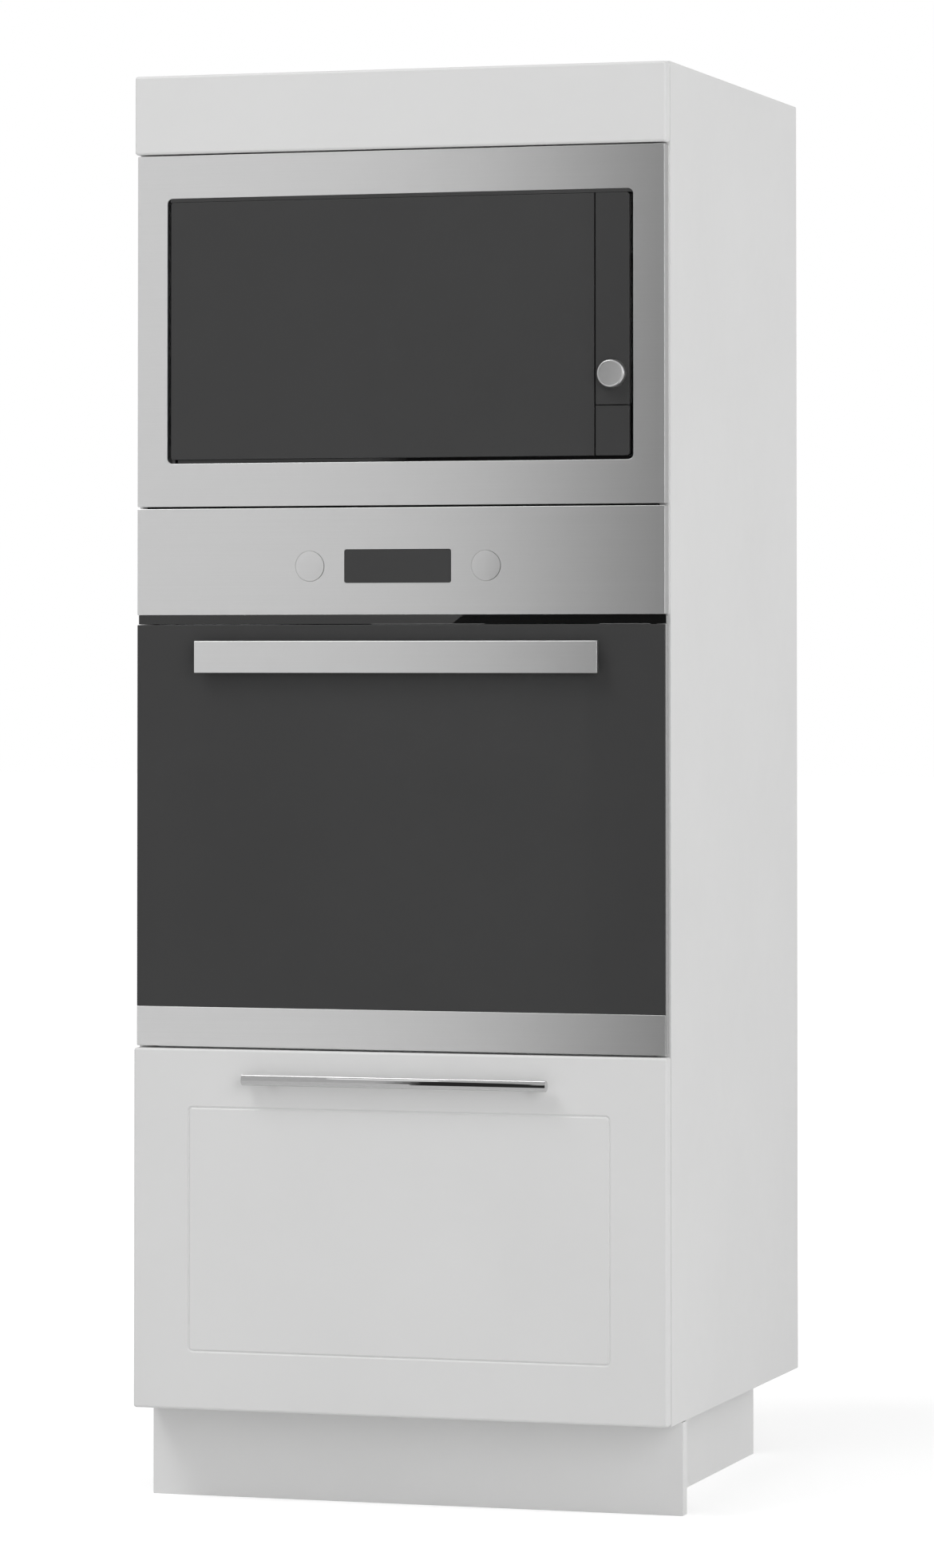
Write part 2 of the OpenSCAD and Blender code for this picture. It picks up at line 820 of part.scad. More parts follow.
module door_gasket() {
    hw = cavity_hw + 2;
    low = cavity_z - 2;
    high = cavity_top_z + 2;
    color(DARK) difference() {
        plate([-hw - gasket_w, gasket_y, low - gasket_w], [hw + gasket_w, mouth_y, high + gasket_w],
              gasket_w + 2);
        plate([-hw, gasket_y - cut, low], [hw, mouth_y + cut, high], 2);
    }
}

// Folded steel tray with holes for the knobs and the display
module oven_control_panel() {
    color(STEEL) difference() {
        block([-app_hw, app_set, control_z], [app_hw, carcass_y, oven_top_z]);
        block([face_t - app_hw, app_set + face_t, control_z + face_t],
              [app_hw - face_t, carcass_y + cut, oven_top_z - face_t]);
        for (side = [-1, 1]) {
            rod_y([side * knob_pitch / 2, app_set - cut, knob_z], app_set + face_t + cut, knob_r + knob_gap);
        }
        block([-display_w / 2, app_set - cut, knob_z - display_h / 2],
              [display_w / 2, app_set + face_t + cut, knob_z + display_h / 2]);
    }
}

module oven_display() {
    lip = 5;
    color(BLACK) {
        block([slack - display_w / 2, app_set - 0.2, knob_z - display_h / 2 + slack],
              [display_w / 2 - slack, app_set + face_t, knob_z + display_h / 2 - slack]);
        block([-display_w / 2 - lip, app_set + face_t, knob_z - display_h / 2 - lip],
              [display_w / 2 + lip, app_set + face_t + 6, knob_z + display_h / 2 + lip]);
    }
}

// Plain blade in the strip under the control panel, with the air slots in the ledge behind it
module oven_vent_strip() {
    low = door_top_z + strip_gap;
    y = app_set + 5;
    slots = 28;
    step = 2 * app_hw / (slots + 1);
    color(BLACK) difference() {
        block([-app_hw, y, low], [app_hw, y + 6, control_z]);
        block([-app_hw - cut, y + 2, low - cut], [app_hw + cut, y + 6 + cut, control_z - 2]);
        for (i = [1:slots]) {
            translate([i * step - app_hw, y + 4, control_z - 1])
                cube([step * 0.7, 2.4, 6], center = true);
        }
    }
}

// Plate with the two rotary switches that carry the knob shafts
module switch_bracket() {
    y = carcass_y + switch_set;
    color(ZINC) difference() {
        union() {
            block([case_t - case_hw, y, knob_z - switch_w / 2 - 6], [case_hw - case_t, y + 1.5, knob_z + switch_up]);
            for (side = [-1, 1]) {
                translate([side * knob_pitch / 2, y - switch_d / 2, knob_z])
                    cube([switch_w, switch_d, switch_w], center = true);
            }
        }
        for (side = [-1, 1]) {
            rod_y([side * knob_pitch / 2, y - switch_d - cut, knob_z], y + 3, knob_shaft_r + shaft_gap);
        }
    }
}

// ---- Oven knobs ----

module knob(x) {
    front = app_set - 0.2;
    color(STEEL) translate([x, front + knob_l, knob_z]) rotate([90, 0, 0]) difference() {
        rotate_extrude()
            polygon([[0, 0], [knob_r, 0], [knob_r, knob_l - 0.6], [knob_r - 0.6, knob_l], [0, knob_l]]);
        translate([0, 0, -cut]) cylinder(h = knob_l - knob_wall + cut, r = knob_shaft_r + shaft_gap);
    }
}

module knob_shaft(x) {
    front = app_set - 0.2;
    collar = front + knob_l + slack;
    color(ZINC) {
        rod_y([x, front + knob_wall + slack, knob_z], carcass_y + shaft_end, knob_shaft_r);
        rod_y([x, collar, knob_z], collar + 2, collar_r);
    }
}

module knob_left() {
    knob(-knob_pitch / 2);
}

module knob_right() {
    knob(knob_pitch / 2);
}

module knob_shaft_left() {
    knob_shaft(-knob_pitch / 2);
}

module knob_shaft_right() {
    knob_shaft(knob_pitch / 2);
}

// ---- Oven door ----

module door_glass() {
    color(BLACK) block([-app_hw, app_set, trim_top_z], [app_hw, app_set + glass_t, door_top_z]);
}

module door_inner_glass() {
    color(CLEAR) block([-plug_hw, plug_y - glass_t, plug_z], [plug_hw, plug_y, plug_top_z]);
}

// Room that a hinge arm sweeps through the foot of the door
module hinge_slot() {
    wide = hinge_arm_w + 2 * hinge_side_gap;
    block([hinge_x - wide / 2, app_set + face_t, oven_z - cut],
          [hinge_x + wide / 2, door_back_y + cut, hinge_z + hinge_eye_r + slack]);
}

module door_frame() {
    front = app_set + glass_t;
    edge_hw = app_hw - door_edge;
    color(DARK) difference() {
        union() {
            // Frame behind the outer glass
            ring_frame([-edge_hw, front, rail_z], [edge_hw, door_back_y, door_top_z - door_edge],
                       [-window_hw, 0, window_z], [window_hw, 0, window_top_z]);
            // Rail behind the steel trim
            block([-edge_hw, app_set + face_t, rail_z], [edge_hw, door_back_y, trim_top_z]);
            // Plug that carries the inner glass
            ring_frame([-plug_hw, door_back_y, plug_z], [plug_hw, plug_y - glass_t, plug_top_z],
                       [-window_hw, 0, window_z], [window_hw, 0, window_top_z]);
            // Hinge ears
            both_sides()
                block([hinge_ear_x, app_set + face_t, oven_z + face_t],
                      [hinge_ear_x + hinge_span, ear_back_y, rail_z]);
        }
        both_sides() {
            hinge_slot();
            rod_x([hinge_ear_x - cut, hinge_y, hinge_z], hinge_ear_x + hinge_span + cut,
                  hinge_pin_r + shaft_gap);
        }
    }
}

// Steel trim at the foot of the door, folded back below it
module door_trim() {
    color(STEEL) difference() {
        union() {
            block([-app_hw, app_set, oven_z], [app_hw, app_set + face_t, trim_top_z]);
            block([-app_hw, app_set, oven_z], [app_hw, ear_back_y, oven_z + face_t]);
        }
        both_sides() hinge_slot();
    }
}

module oven_handle() {
    z = handle_top_z - handle_h / 2;
    color(STEEL) {
        block([-handle_l / 2, handle_y, handle_top_z - handle_h],
              [handle_l / 2, handle_y + handle_t, handle_top_z]);
        both_sides() rod_y([handle_pitch / 2, handle_y + handle_t, z], app_set, handle_post_r);
    }
}

// Fixed arms with the hinge pins, held under the tunnel of the front frame
module oven_hinges() {
    x = hinge_x - hinge_arm_w / 2;
    heel = carcass_y + 2;
    color(ZINC) both_sides() {
        rod_x([x, hinge_y, hinge_z], x + hinge_arm_w, hinge_eye_r);
        block([x, hinge_y, hinge_z - hinge_eye_r + 0.4],
              [x + hinge_arm_w, carcass_y + hinge_arm_l, hinge_z + hinge_eye_r - 0.4]);
        block([x, heel, hinge_z], [x + hinge_arm_w, heel + hinge_foot_l, plug_z - plug_gap - frame_t]);
        rod_x([hinge_ear_x + 1, hinge_y, hinge_z], hinge_ear_x + hinge_span - 1, hinge_pin_r);
    }
}

// ---- Oven inside ----

module side_racks() {
    far = rack_y + shelf_d - 4;
    top_z = tray_level_z + (rack_levels - 1) * rack_pitch;
    color(CHROME) both_sides() {
        for (y = [rack_y + 4, far]) {
            rod_z([upright_x, y, tray_level_z - 14], top_z + 10, rack_r);
            rod_x([upright_x, y, top_z + 4], cavity_hw, rack_r - 0.5);
            rod_x([upright_x, y, tray_level_z - 8], cavity_hw, rack_r - 0.5);
        }
        for (i = [0:rack_levels - 1]) {
            rod_y([rail_x, rack_y, tray_level_z + i * rack_pitch], far + 4, rack_r);
        }
    }
}

module wire_shelf() {
    z = shelf_level_z + rack_r + grid_r;
    x = rail_x - 1.5;
    far = rack_y + shelf_d;
    step = 2 * x / (grid_wires + 1);
    color(CHROME) {
        both_sides() rod_y([x, rack_y, z], far, grid_r);
        for (y = [rack_y + grid_r, far - grid_r]) {
            rod_x([-x, y, z], x, grid_r - 0.5);
        }
        for (i = [1:grid_wires]) {
            rod_y([i * step - x, rack_y + grid_r, z], far - grid_r, grid_thin_r);
        }
    }
}

module baking_tray() {
    rim_z = tray_level_z + rack_r;
    hw = rail_x + 1.5;
    inner = hw - tray_rim;
    far = rack_y + shelf_d;
    color(ENAMEL) difference() {
        union() {
            block([-hw, rack_y, rim_z], [hw, far, rim_z + tray_t]);
            block([-inner, rack_y + tray_rim, rim_z - tray_h], [inner, far - tray_rim, rim_z]);
        }
        block([tray_t - inner, rack_y + tray_rim + tray_t, rim_z - tray_h + tray_t],
              [inner - tray_t, far - tray_rim - tray_t, rim_z + tray_t + cut]);
    }
}

// Folded cover in front of the fan, with a round field of holes
module fan_cover() {
    y = cavity_rear_y - cover_d;
    color(ENAMEL) difference() {
        block([-cover_hw, y, fan_z - cover_hh], [cover_hw, cavity_rear_y, fan_z + cover_hh]);
        block([cavity_t - cover_hw, y + cavity_t, fan_z - cover_hh + cavity_t],
              [cover_hw - cavity_t, cavity_rear_y + cut, fan_z + cover_hh - cavity_t]);
        for (ring = [1:3], i = [0:6 * ring - 1]) {
            angle = i * 60 / ring;
            reach = 3.6 * cover_hole_r * ring;
            rod_y([reach * cos(angle), y - cut, fan_z + reach * sin(angle)], y + cavity_t + cut,
                  cover_hole_r);
        }
        for (side = [-1, 1], i = [-3:3]) {
            translate([side * (cover_hw - 18), y, fan_z + i * 28]) cube([8, 4 * cavity_t, 18], center = true);
        }
    }
}

fan_back_y = cavity_rear_y - 8;
fan_front_y = fan_back_y - fan_d;

module oven_fan() {
    hub_r = 12;
    color(PALE) {
        rod_y([0, fan_back_y - 1.2, fan_z], fan_back_y, fan_r);
        rod_y([0, fan_front_y, fan_z], fan_back_y - 1.2, hub_r);
        for (i = [0:fan_blades - 1]) {
            translate([0, fan_front_y, fan_z]) rotate([0, i * 360 / fan_blades, 0])
                block([hub_r - 2, 0, -0.6], [fan_r - 1, fan_d - 1.2, 0.6]);
        }
        rod_y([0, fan_back_y, fan_z], cavity_rear_y + cavity_t + motor_l - 10, fan_shaft_r);
    }
}

// Fan motor behind the oven's rear wall and turntable motor under the microwave's floor
module drive_motors() {
    wall_y = cavity_rear_y + cavity_t;
    half = 26;
    motor_h = 15;
    motor_top = mwc_z - cavity_t;
    color(ZINC) {
        difference() {
            rod_y([0, wall_y, fan_z], wall_y + motor_l, motor_r);
            rod_y([0, wall_y - cut, fan_z], wall_y + motor_l - 8, fan_shaft_r + shaft_gap);
        }
        difference() {
            block([mwc_mid_x - half, mwc_mid_y - half, motor_top - motor_h],
                  [mwc_mid_x + half, mwc_mid_y + half, motor_top]);
            rod_z([mwc_mid_x, mwc_mid_y, motor_top - motor_h + 3], motor_top + cut,
                  coupler_shaft_r + shaft_gap);
        }
    }
}

module half_turn(r) {
    rotate_extrude(angle = 180) translate([r, 0]) circle(heater_r);
}

// Ring heater around the fan and grill heater under the cavity's roof
module heating_elements() {
    ring_y = fan_back_y - fan_d / 2;
    grill_z = cavity_top_z - 12;
    outer_x = cavity_hw - 60;
    inner_x = outer_x - 100;
    front_y = cavity_y + 90;
    back_turn_y = cavity_rear_y - 120;
    color(RED) {
        translate([0, ring_y, fan_z]) rotate([90, 0, 0])
            rotate_extrude() translate([ring_r, 0]) circle(heater_r);
        both_sides() {
            rod_y([ring_r * cos(50), ring_y, fan_z + ring_r * sin(50)], cavity_rear_y, heater_r - 0.5);
            rod_y([outer_x, front_y, grill_z], cavity_rear_y, heater_r);
            rod_y([inner_x, front_y, grill_z], back_turn_y, heater_r);
            translate([(outer_x + inner_x) / 2, front_y, grill_z])
                rotate([0, 0, 180]) half_turn((outer_x - inner_x) / 2);
        }
        translate([0, back_turn_y, grill_z]) half_turn(inner_x);
    }
}

module oven_lamp() {
    lamp_h = 7;
    color(CLEAR) translate([cavity_hw, cavity_rear_y - 70, cavity_top_z - lamp_r - 12])
        rotate([0, -90, 0]) rotate_extrude()
            polygon([[0, 0], [lamp_r, 0], [lamp_r, lamp_h / 2], [lamp_r / 2, lamp_h], [0, lamp_h]]);
}

// ---- Microwave body ----

module microwave_trim() {
    color(STEEL) difference() {
        block([-app_hw, app_set, mw_z], [app_hw, app_set + trim_d, mw_top_z]);
        block([face_t - app_hw, app_set + face_t, mw_z + face_t],
              [app_hw - face_t, app_set + trim_d + cut, mw_top_z - face_t]);
        plate([-cut_hw, app_set - cut, cut_z], [cut_hw, app_set + face_t + cut, cut_top_z], cut_r);
    }
}

// Black seat behind the cut-out, with a collar around the cavity's mouth and the hinge bores
module microwave_bezel() {
    front = app_set + face_t;
    color(BLACK) difference() {
        union() {
            block([-bezel_hw, front, bezel_z], [bezel_hw, bezel_back_y, bezel_top_z]);
            block([mouth_x - collar_t, bezel_back_y, mouth_z - collar_t],
                  [mouth_right_x + collar_t, collar_y, mouth_top_z + collar_t]);
        }
        plate([-cut_hw, front - cut, cut_z], [cut_hw, seat_y, cut_top_z], cut_r);
        block([mouth_x, front, mouth_z], [mouth_right_x, collar_y + cut, mouth_top_z]);
        rod_z([mw_axis_x, mw_hinge_y, bezel_z - cut], bezel_top_z + cut, mw_pin_r + shaft_gap);
        rod_y([strip_mid_x, seat_y - cut, mw_knob_z], bezel_back_y + cut, knob_shaft_r + shaft_gap);
        button_stem(slack, bezel_back_y + cut);
    }
}

module microwave_casing() {
    rear = bezel_back_y + mw_case_d;
    color(ZINC) {
        difference() {
            block([-mw_case_hw, bezel_back_y, mw_case_z], [mw_case_hw, rear, mw_case_z + mw_case_h]);
            block([case_t - mw_case_hw, bezel_back_y - cut, mw_case_z + case_t],
                  [mw_case_hw - case_t, rear - case_t, mw_case_z + mw_case_h - case_t]);
            for (i = [0:5]) {
                translate([mw_case_hw - 60, rear, mw_case_z + 60 + 14 * i]) cube([70, 4 * case_t, 6], center = true);
            }
        }
        both_sides() for (y = [bezel_back_y + mw_foot_inset, rear - mw_foot_inset]) {
            rod_z([mw_case_hw - mw_foot_inset, y, mw_shelf_z], mw_case_z, mw_foot_r);
        }
    }
}

module microwave_cavity() {
    color(PALE) difference() {
        union() {
            block([mouth_x - collar_t, collar_y, mouth_z - collar_t],
                  [mouth_right_x + collar_t, mwc_y, mouth_top_z + collar_t]);
            block([mwc_x - cavity_t, mwc_y, mwc_z - cavity_t],
                  [mwc_right_x + cavity_t, mwc_y + mwc_d + cavity_t, mwc_z + mwc_h + cavity_t]);
        }
        block([mwc_x, collar_y - cut, mwc_z], [mwc_right_x, mwc_y + mwc_d, mwc_z + mwc_h]);
        rod_z([mwc_mid_x, mwc_mid_y, mwc_z - cavity_t - cut], mwc_z + cut, 1.5 * coupler_shaft_r);
        for (z = hook_heights()) {
            block([hook_x - 4, collar_y - cut, z - 8], [hook_x + 10, mwc_y + cut, z + 8]);
        }
    }
}

function hook_heights() = [mwc_z + 20, mwc_z + mwc_h - 20];

module microwave_control_panel() {
    color(BLACK) difference() {
        block([strip_x, app_set, button_top_z + button_seam], [black_hw, seat_y, black_top_z]);
        rod_y([strip_mid_x, app_set - cut, mw_knob_z], seat_y + cut, knob_shaft_r + shaft_gap);
    }
}

module microwave_knob() {
    rim = 1.4;
    color(STEEL) {
        translate([strip_mid_x, app_set - slack, mw_knob_z]) rotate([90, 0, 0]) rotate_extrude()
            polygon([[0, 0], [mw_knob_r, 0], [mw_knob_r, mw_knob_l - rim], [mw_knob_r - rim, mw_knob_l],
                     [0, mw_knob_l]]);
        rod_y([strip_mid_x, app_set - slack, mw_knob_z], bezel_back_y + 12, knob_shaft_r);
    }
}

// Stem of the door button, or with a gap around it, the hole that guides it
module button_stem(gap, rear) {
    half = 4 + gap;
    z = black_z + button_h / 2;
    block([strip_mid_x - half, app_set + button_t, z - half], [strip_mid_x + half, rear, z + half]);
}

module open_button() {
    color(BLACK) {
        block([strip_x, app_set, black_z], [black_hw, app_set + button_t, button_top_z]);
        button_stem(0, bezel_back_y + 6);
    }
}

module microwave_door_glass() {
    color(BLACK) block([-black_hw, app_set, black_z], [mw_door_x, app_set + mw_glass_t, black_top_z]);
}

// Door plate, choke frame around the window, hinge pins and latch hooks
module microwave_door_frame() {
    left = mouth_x + choke_gap;
    right = mouth_right_x - choke_gap;
    low = mouth_z + choke_gap;
    high = mouth_top_z - choke_gap;
    plate_front = app_set + mw_glass_t;
    color(DARK) {
        difference() {
            union() {
                block([-black_hw, plate_front, black_z], [mw_door_x, mw_plate_y, black_top_z]);
                block([left, mw_plate_y, low], [right, choke_back_y, high]);
            }
            block([left + mw_frame_w, mw_plate_y, low + mw_frame_w],
                  [right - mw_frame_w, choke_back_y + cut, high - mw_frame_w]);
        }
        rod_z([mw_axis_x, mw_hinge_y, black_top_z], cut_top_z + mw_pin_l, mw_pin_r);
        rod_z([mw_axis_x, mw_hinge_y, cut_z - mw_pin_l], black_z, mw_pin_r);
        for (z = hook_heights()) {
            block([hook_x, choke_back_y, z - 5], [hook_x + 5, mwc_y + 7, z + 5]);
        }
    }
}

// ---- Microwave inside ----

module turntable() {
    rim = 6;
    color(CLEAR) translate([mwc_mid_x, mwc_mid_y, turntable_z]) rotate_extrude()
        polygon([[0, 0], [turntable_r - rim, 0], [turntable_r, rim], [turntable_r, rim + turntable_t],
                 [turntable_r - rim - turntable_t / 2, turntable_t], [0, turntable_t]]);
}

module drive_coupler() {
    color(PALE) {
        rod_z([mwc_mid_x, mwc_mid_y, mwc_z + 2], turntable_z, coupler_r);
        rod_z([mwc_mid_x, mwc_mid_y, mwc_z - cavity_t - 10], mwc_z + 2, coupler_shaft_r);
    }
}

// Ring with three rollers that carries the plate
module roller_ring() {
    roller_r = turntable_up / 2 - slack;
    ring_w = 8;
    ring_t = 4;
    color(PALE) translate([mwc_mid_x, mwc_mid_y, mwc_z + turntable_up / 2]) {
        rotate_extrude() translate([roller_ring_r - ring_w, -ring_t / 2]) square([ring_w, ring_t]);
        rotate_extrude() translate([coupler_r + 1, -ring_t / 2]) square([ring_w, ring_t]);
        for (i = [0:2]) {
            rotate([0, 0, 120 * i]) {
                block([coupler_r + ring_w - 2, -4, -ring_t / 2], [roller_ring_r - 2, 4, ring_t / 2]);
                rod_x([roller_ring_r - 1, 0, 0], roller_ring_r + 9, roller_r);
            }
        }
    }
}

in_frame() side_panel_left();
in_frame() side_panel_right();
in_frame() base_panel();
in_frame() oven_shelf();
in_frame() microwave_shelf();
in_frame() top_panel();
in_frame() back_panels();
in_frame() top_fascia();
in_frame() fascia_blocks();
in_frame() wall_brackets();
in_frame() plinth_front();
in_frame() plinth_sides();
in_frame() adjustable_legs();
in_frame() drawer_front();
in_frame() drawer_sides();
in_frame() drawer_back();
in_frame() drawer_bottom();
in_frame() drawer_handle();
in_frame() runner_cabinet_members();
in_frame() runner_middle_left();
in_frame() runner_middle_right();
in_frame() runner_drawer_members();
in_frame() oven_casing();
in_frame() oven_cavity();
in_frame() oven_front_frame();
in_frame() oven_control_panel();
in_frame() oven_display();
in_frame() oven_vent_strip();
in_frame() door_gasket();
in_frame() side_racks();
in_frame() wire_shelf();
in_frame() baking_tray();
in_frame() fan_cover();
in_frame() drive_motors();
in_frame() heating_elements();
in_frame() oven_lamp();
in_frame() oven_hinges();
in_frame() switch_bracket();
in_frame() oven_fan();
in_frame() knob_left();
in_frame() knob_right();
in_frame() knob_shaft_left();
in_frame() knob_shaft_right();
in_frame() door_glass();
in_frame() door_inner_glass();
in_frame() door_frame();
in_frame() door_trim();
in_frame() oven_handle();
in_frame() microwave_trim();
in_frame() microwave_bezel();
in_frame() microwave_casing();
in_frame() microwave_cavity();
in_frame() microwave_control_panel();
in_frame() microwave_knob();
in_frame() open_button();
in_frame() turntable();
in_frame() drive_coupler();
in_frame() roller_ring();
in_frame() microwave_door_frame();
in_frame() microwave_door_glass();
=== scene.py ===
"""Tall oven housing unit: looks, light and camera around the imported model.

Shapes are drawn in millimetres from the plane of the fronts, and take their sizes from the CAD nodes' boxes
where they can.
"""

import json
import math

import bmesh
import bpy
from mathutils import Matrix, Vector


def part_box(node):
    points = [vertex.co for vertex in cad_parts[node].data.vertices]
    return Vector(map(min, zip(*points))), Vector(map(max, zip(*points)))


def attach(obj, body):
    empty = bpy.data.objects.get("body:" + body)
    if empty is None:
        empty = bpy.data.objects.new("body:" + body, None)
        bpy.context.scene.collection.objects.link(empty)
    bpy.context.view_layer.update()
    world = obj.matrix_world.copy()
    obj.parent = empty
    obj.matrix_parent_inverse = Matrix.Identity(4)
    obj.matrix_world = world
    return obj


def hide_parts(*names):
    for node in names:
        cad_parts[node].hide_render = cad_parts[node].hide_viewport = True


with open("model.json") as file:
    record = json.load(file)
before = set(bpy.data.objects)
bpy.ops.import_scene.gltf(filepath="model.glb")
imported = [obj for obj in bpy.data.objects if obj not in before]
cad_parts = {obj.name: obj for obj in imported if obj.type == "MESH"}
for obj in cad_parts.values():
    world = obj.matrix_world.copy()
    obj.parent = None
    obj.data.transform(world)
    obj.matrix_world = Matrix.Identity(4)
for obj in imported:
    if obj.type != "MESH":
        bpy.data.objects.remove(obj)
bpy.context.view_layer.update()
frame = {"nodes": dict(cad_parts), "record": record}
NODES = frame["nodes"]
scene = bpy.context.scene

MM = 0.001
FRONT_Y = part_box("drawer_front")[0].y


# ---------------------------------------------------------------- points and boxes

def at(x, y, z):
    """A point given in millimetres: across, behind the plane of the fronts, above the floor."""
    return Vector((x * MM, FRONT_Y + y * MM, z * MM))


def extent(node):
    """A CAD node's box in millimetres: (x0, x1), (y0, y1), (z0, z1), with y from the plane of the fronts."""
    low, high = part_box(node)
    return (
        (low.x / MM, high.x / MM),
        ((low.y - FRONT_Y) / MM, (high.y - FRONT_Y) / MM),
        (low.z / MM, high.z / MM),
    )


def middle(span):
    return (span[0] + span[1]) / 2


# ---------------------------------------------------------------- materials

def new_material(name):
    """A material with a shader that its maker fills in, and the coordinates for its textures."""
    mat = bpy.data.materials.new(name)
    mat.use_nodes = True
    nodes, links = mat.node_tree.nodes, mat.node_tree.links
    nodes.clear()
    out = nodes.new("ShaderNodeOutputMaterial")
    shader = nodes.new("ShaderNodeBsdfPrincipled")
    links.new(shader.outputs["BSDF"], out.inputs["Surface"])
    coords = nodes.new("ShaderNodeTexCoord")
    return mat, nodes, links, shader, coords


def noise(nodes, links, coords, scale, stretch=(1, 1, 1), detail=3.0, rough=0.55):
    """A noise on the object's own coordinates, in features per metre, more of them along a stretched axis."""
    mapping = nodes.new("ShaderNodeMapping")
    mapping.inputs["Scale"].default_value = stretch
    links.new(coords.outputs["Object"], mapping.inputs["Vector"])
    tex = nodes.new("ShaderNodeTexNoise")
    tex.inputs["Scale"].default_value = scale
    tex.inputs["Detail"].default_value = detail
    tex.inputs["Roughness"].default_value = rough
    links.new(mapping.outputs["Vector"], tex.inputs["Vector"])
    return tex.outputs["Fac"]


def spread(nodes, links, value, low, high, start=0.3, end=0.7):
    """The value, from start to end, mapped to low to high."""
    span = nodes.new("ShaderNodeMapRange")
    span.inputs["From Min"].default_value = start
    span.inputs["From Max"].default_value = end
    span.inputs["To Min"].default_value = low
    span.inputs["To Max"].default_value = high
    links.new(value, span.inputs["Value"])
    return span.outputs["Result"]


def tint(nodes, links, value, colour_a, colour_b, start=0.3, end=0.7):
    """The value, from start to end, mapped to one colour and the other."""
    ramp = nodes.new("ShaderNodeValToRGB")
    ramp.color_ramp.elements[0].position = start
    ramp.color_ramp.elements[1].position = end
    ramp.color_ramp.elements[0].color = (*colour_a, 1)
    ramp.color_ramp.elements[1].color = (*colour_b, 1)
    links.new(value, ramp.inputs["Fac"])
    return ramp.outputs["Color"]


def bump(nodes, links, shader, value, strength, distance):
    """Raises the shader's surface by the value; distance is in metres."""
    node = nodes.new("ShaderNodeBump")
    node.inputs["Strength"].default_value = strength
    node.inputs["Distance"].default_value = distance
    links.new(value, node.inputs["Height"])
    links.new(node.outputs["Normal"], shader.inputs["Normal"])


def shade(colour, factor):
    return tuple(min(1.0, c * factor) for c in colour)


def mottle(nodes, links, shader, value, colour, share):
    """Gives the shader a colour that is a share darker or lighter with the value."""
    mottled = tint(nodes, links, value, shade(colour, 1 - share), shade(colour, 1 + share))
    links.new(mottled, shader.inputs["Base Color"])


def painted(name, colour, roughness, grain, grain_mm, specular=0.5):
    """Lacquer, melamine, paint or plastic: slight cloudiness, uneven gloss and a fine grain."""
    mat, nodes, links, shader, coords = new_material(name)
    mottle(nodes, links, shader, noise(nodes, links, coords, 6.0), colour, 0.012)
    gloss = noise(nodes, links, coords, 40.0)
    links.new(spread(nodes, links, gloss, roughness - 0.03, roughness + 0.03), shader.inputs["Roughness"])
    shader.inputs["Specular IOR Level"].default_value = specular
    bump(nodes, links, shader, noise(nodes, links, coords, grain), 0.35, grain_mm * MM)
    return mat


def brushed(name):
    """Brushed steel: hair lines along X, which also spread the shine across them."""
    mat, nodes, links, shader, coords = new_material(name)
    hair = noise(nodes, links, coords, 1.0, (3, 3, 900), 4.0, 0.7)
    mottle(nodes, links, shader, hair, STEEL, 0.015)
    links.new(spread(nodes, links, hair, 0.325, 0.355), shader.inputs["Roughness"])
    shader.inputs["Metallic"].default_value = 1.0
    shader.inputs["Anisotropic"].default_value = 0.3
    tangent = nodes.new("ShaderNodeTangent")
    tangent.direction_type = "UV_MAP"
    tangent.uv_map = "flat"
    links.new(tangent.outputs["Tangent"], shader.inputs["Tangent"])
    bump(nodes, links, shader, hair, 0.02, 0.01 * MM)
    return mat


def polished(name, colour):
    """Chrome: mirror smooth, with a faint unevenness of the plating."""
    mat, nodes, links, shader, coords = new_material(name)
    mottle(nodes, links, shader, noise(nodes, links, coords, 120.0, (1, 6, 6)), colour, 0.03)
    shader.inputs["Roughness"].default_value = 0.0
    shader.inputs["Metallic"].default_value = 1.0
    bump(nodes, links, shader, noise(nodes, links, coords, 45.0), 0.01, 0.03 * MM)
    return mat


def high_gloss(name, colour, specular):
    """Black plastic polished to a mirror, with the faint waves of moulding."""
    mat, nodes, links, shader, coords = new_material(name)
    mottle(nodes, links, shader, noise(nodes, links, coords, 12.0), colour, 0.1)
    shader.inputs["Roughness"].default_value = 0.0
    shader.inputs["Specular IOR Level"].default_value = specular
    bump(nodes, links, shader, noise(nodes, links, coords, 60.0), 0.02, 0.05 * MM)
    return mat


def galvanised(name, colour):
    """Zinc-coated sheet with its spangle of flat crystals."""
    mat, nodes, links, shader, coords = new_material(name)
    cells = nodes.new("ShaderNodeTexVoronoi")
    cells.inputs["Scale"].default_value = 160.0
    links.new(coords.outputs["Object"], cells.inputs["Vector"])
    grey = nodes.new("ShaderNodeRGBToBW")
    links.new(cells.outputs["Color"], grey.inputs["Color"])
    links.new(tint(nodes, links, grey.outputs["Val"], shade(colour, 0.86), shade(colour, 1.08), 0.2, 0.8),
              shader.inputs["Base Color"])
    links.new(spread(nodes, links, grey.outputs["Val"], 0.34, 0.5, 0.2, 0.8), shader.inputs["Roughness"])
    shader.inputs["Metallic"].default_value = 0.9
    bump(nodes, links, shader, noise(nodes, links, coords, 500.0), 0.1, 0.02 * MM)
    return mat


def enamel(name, colour, fleck, roughness):
    """Vitreous enamel with fine pale flecks and an uneven gloss."""
    mat, nodes, links, shader, coords = new_material(name)
    specks = noise(nodes, links, coords, 900.0, detail=1.0)
    links.new(tint(nodes, links, specks, colour, fleck, 0.64, 0.7), shader.inputs["Base Color"])
    flow = noise(nodes, links, coords, 60.0)
    links.new(spread(nodes, links, flow, roughness, roughness + 0.08), shader.inputs["Roughness"])
    bump(nodes, links, shader, flow, 0.12, 0.1 * MM)
    return mat


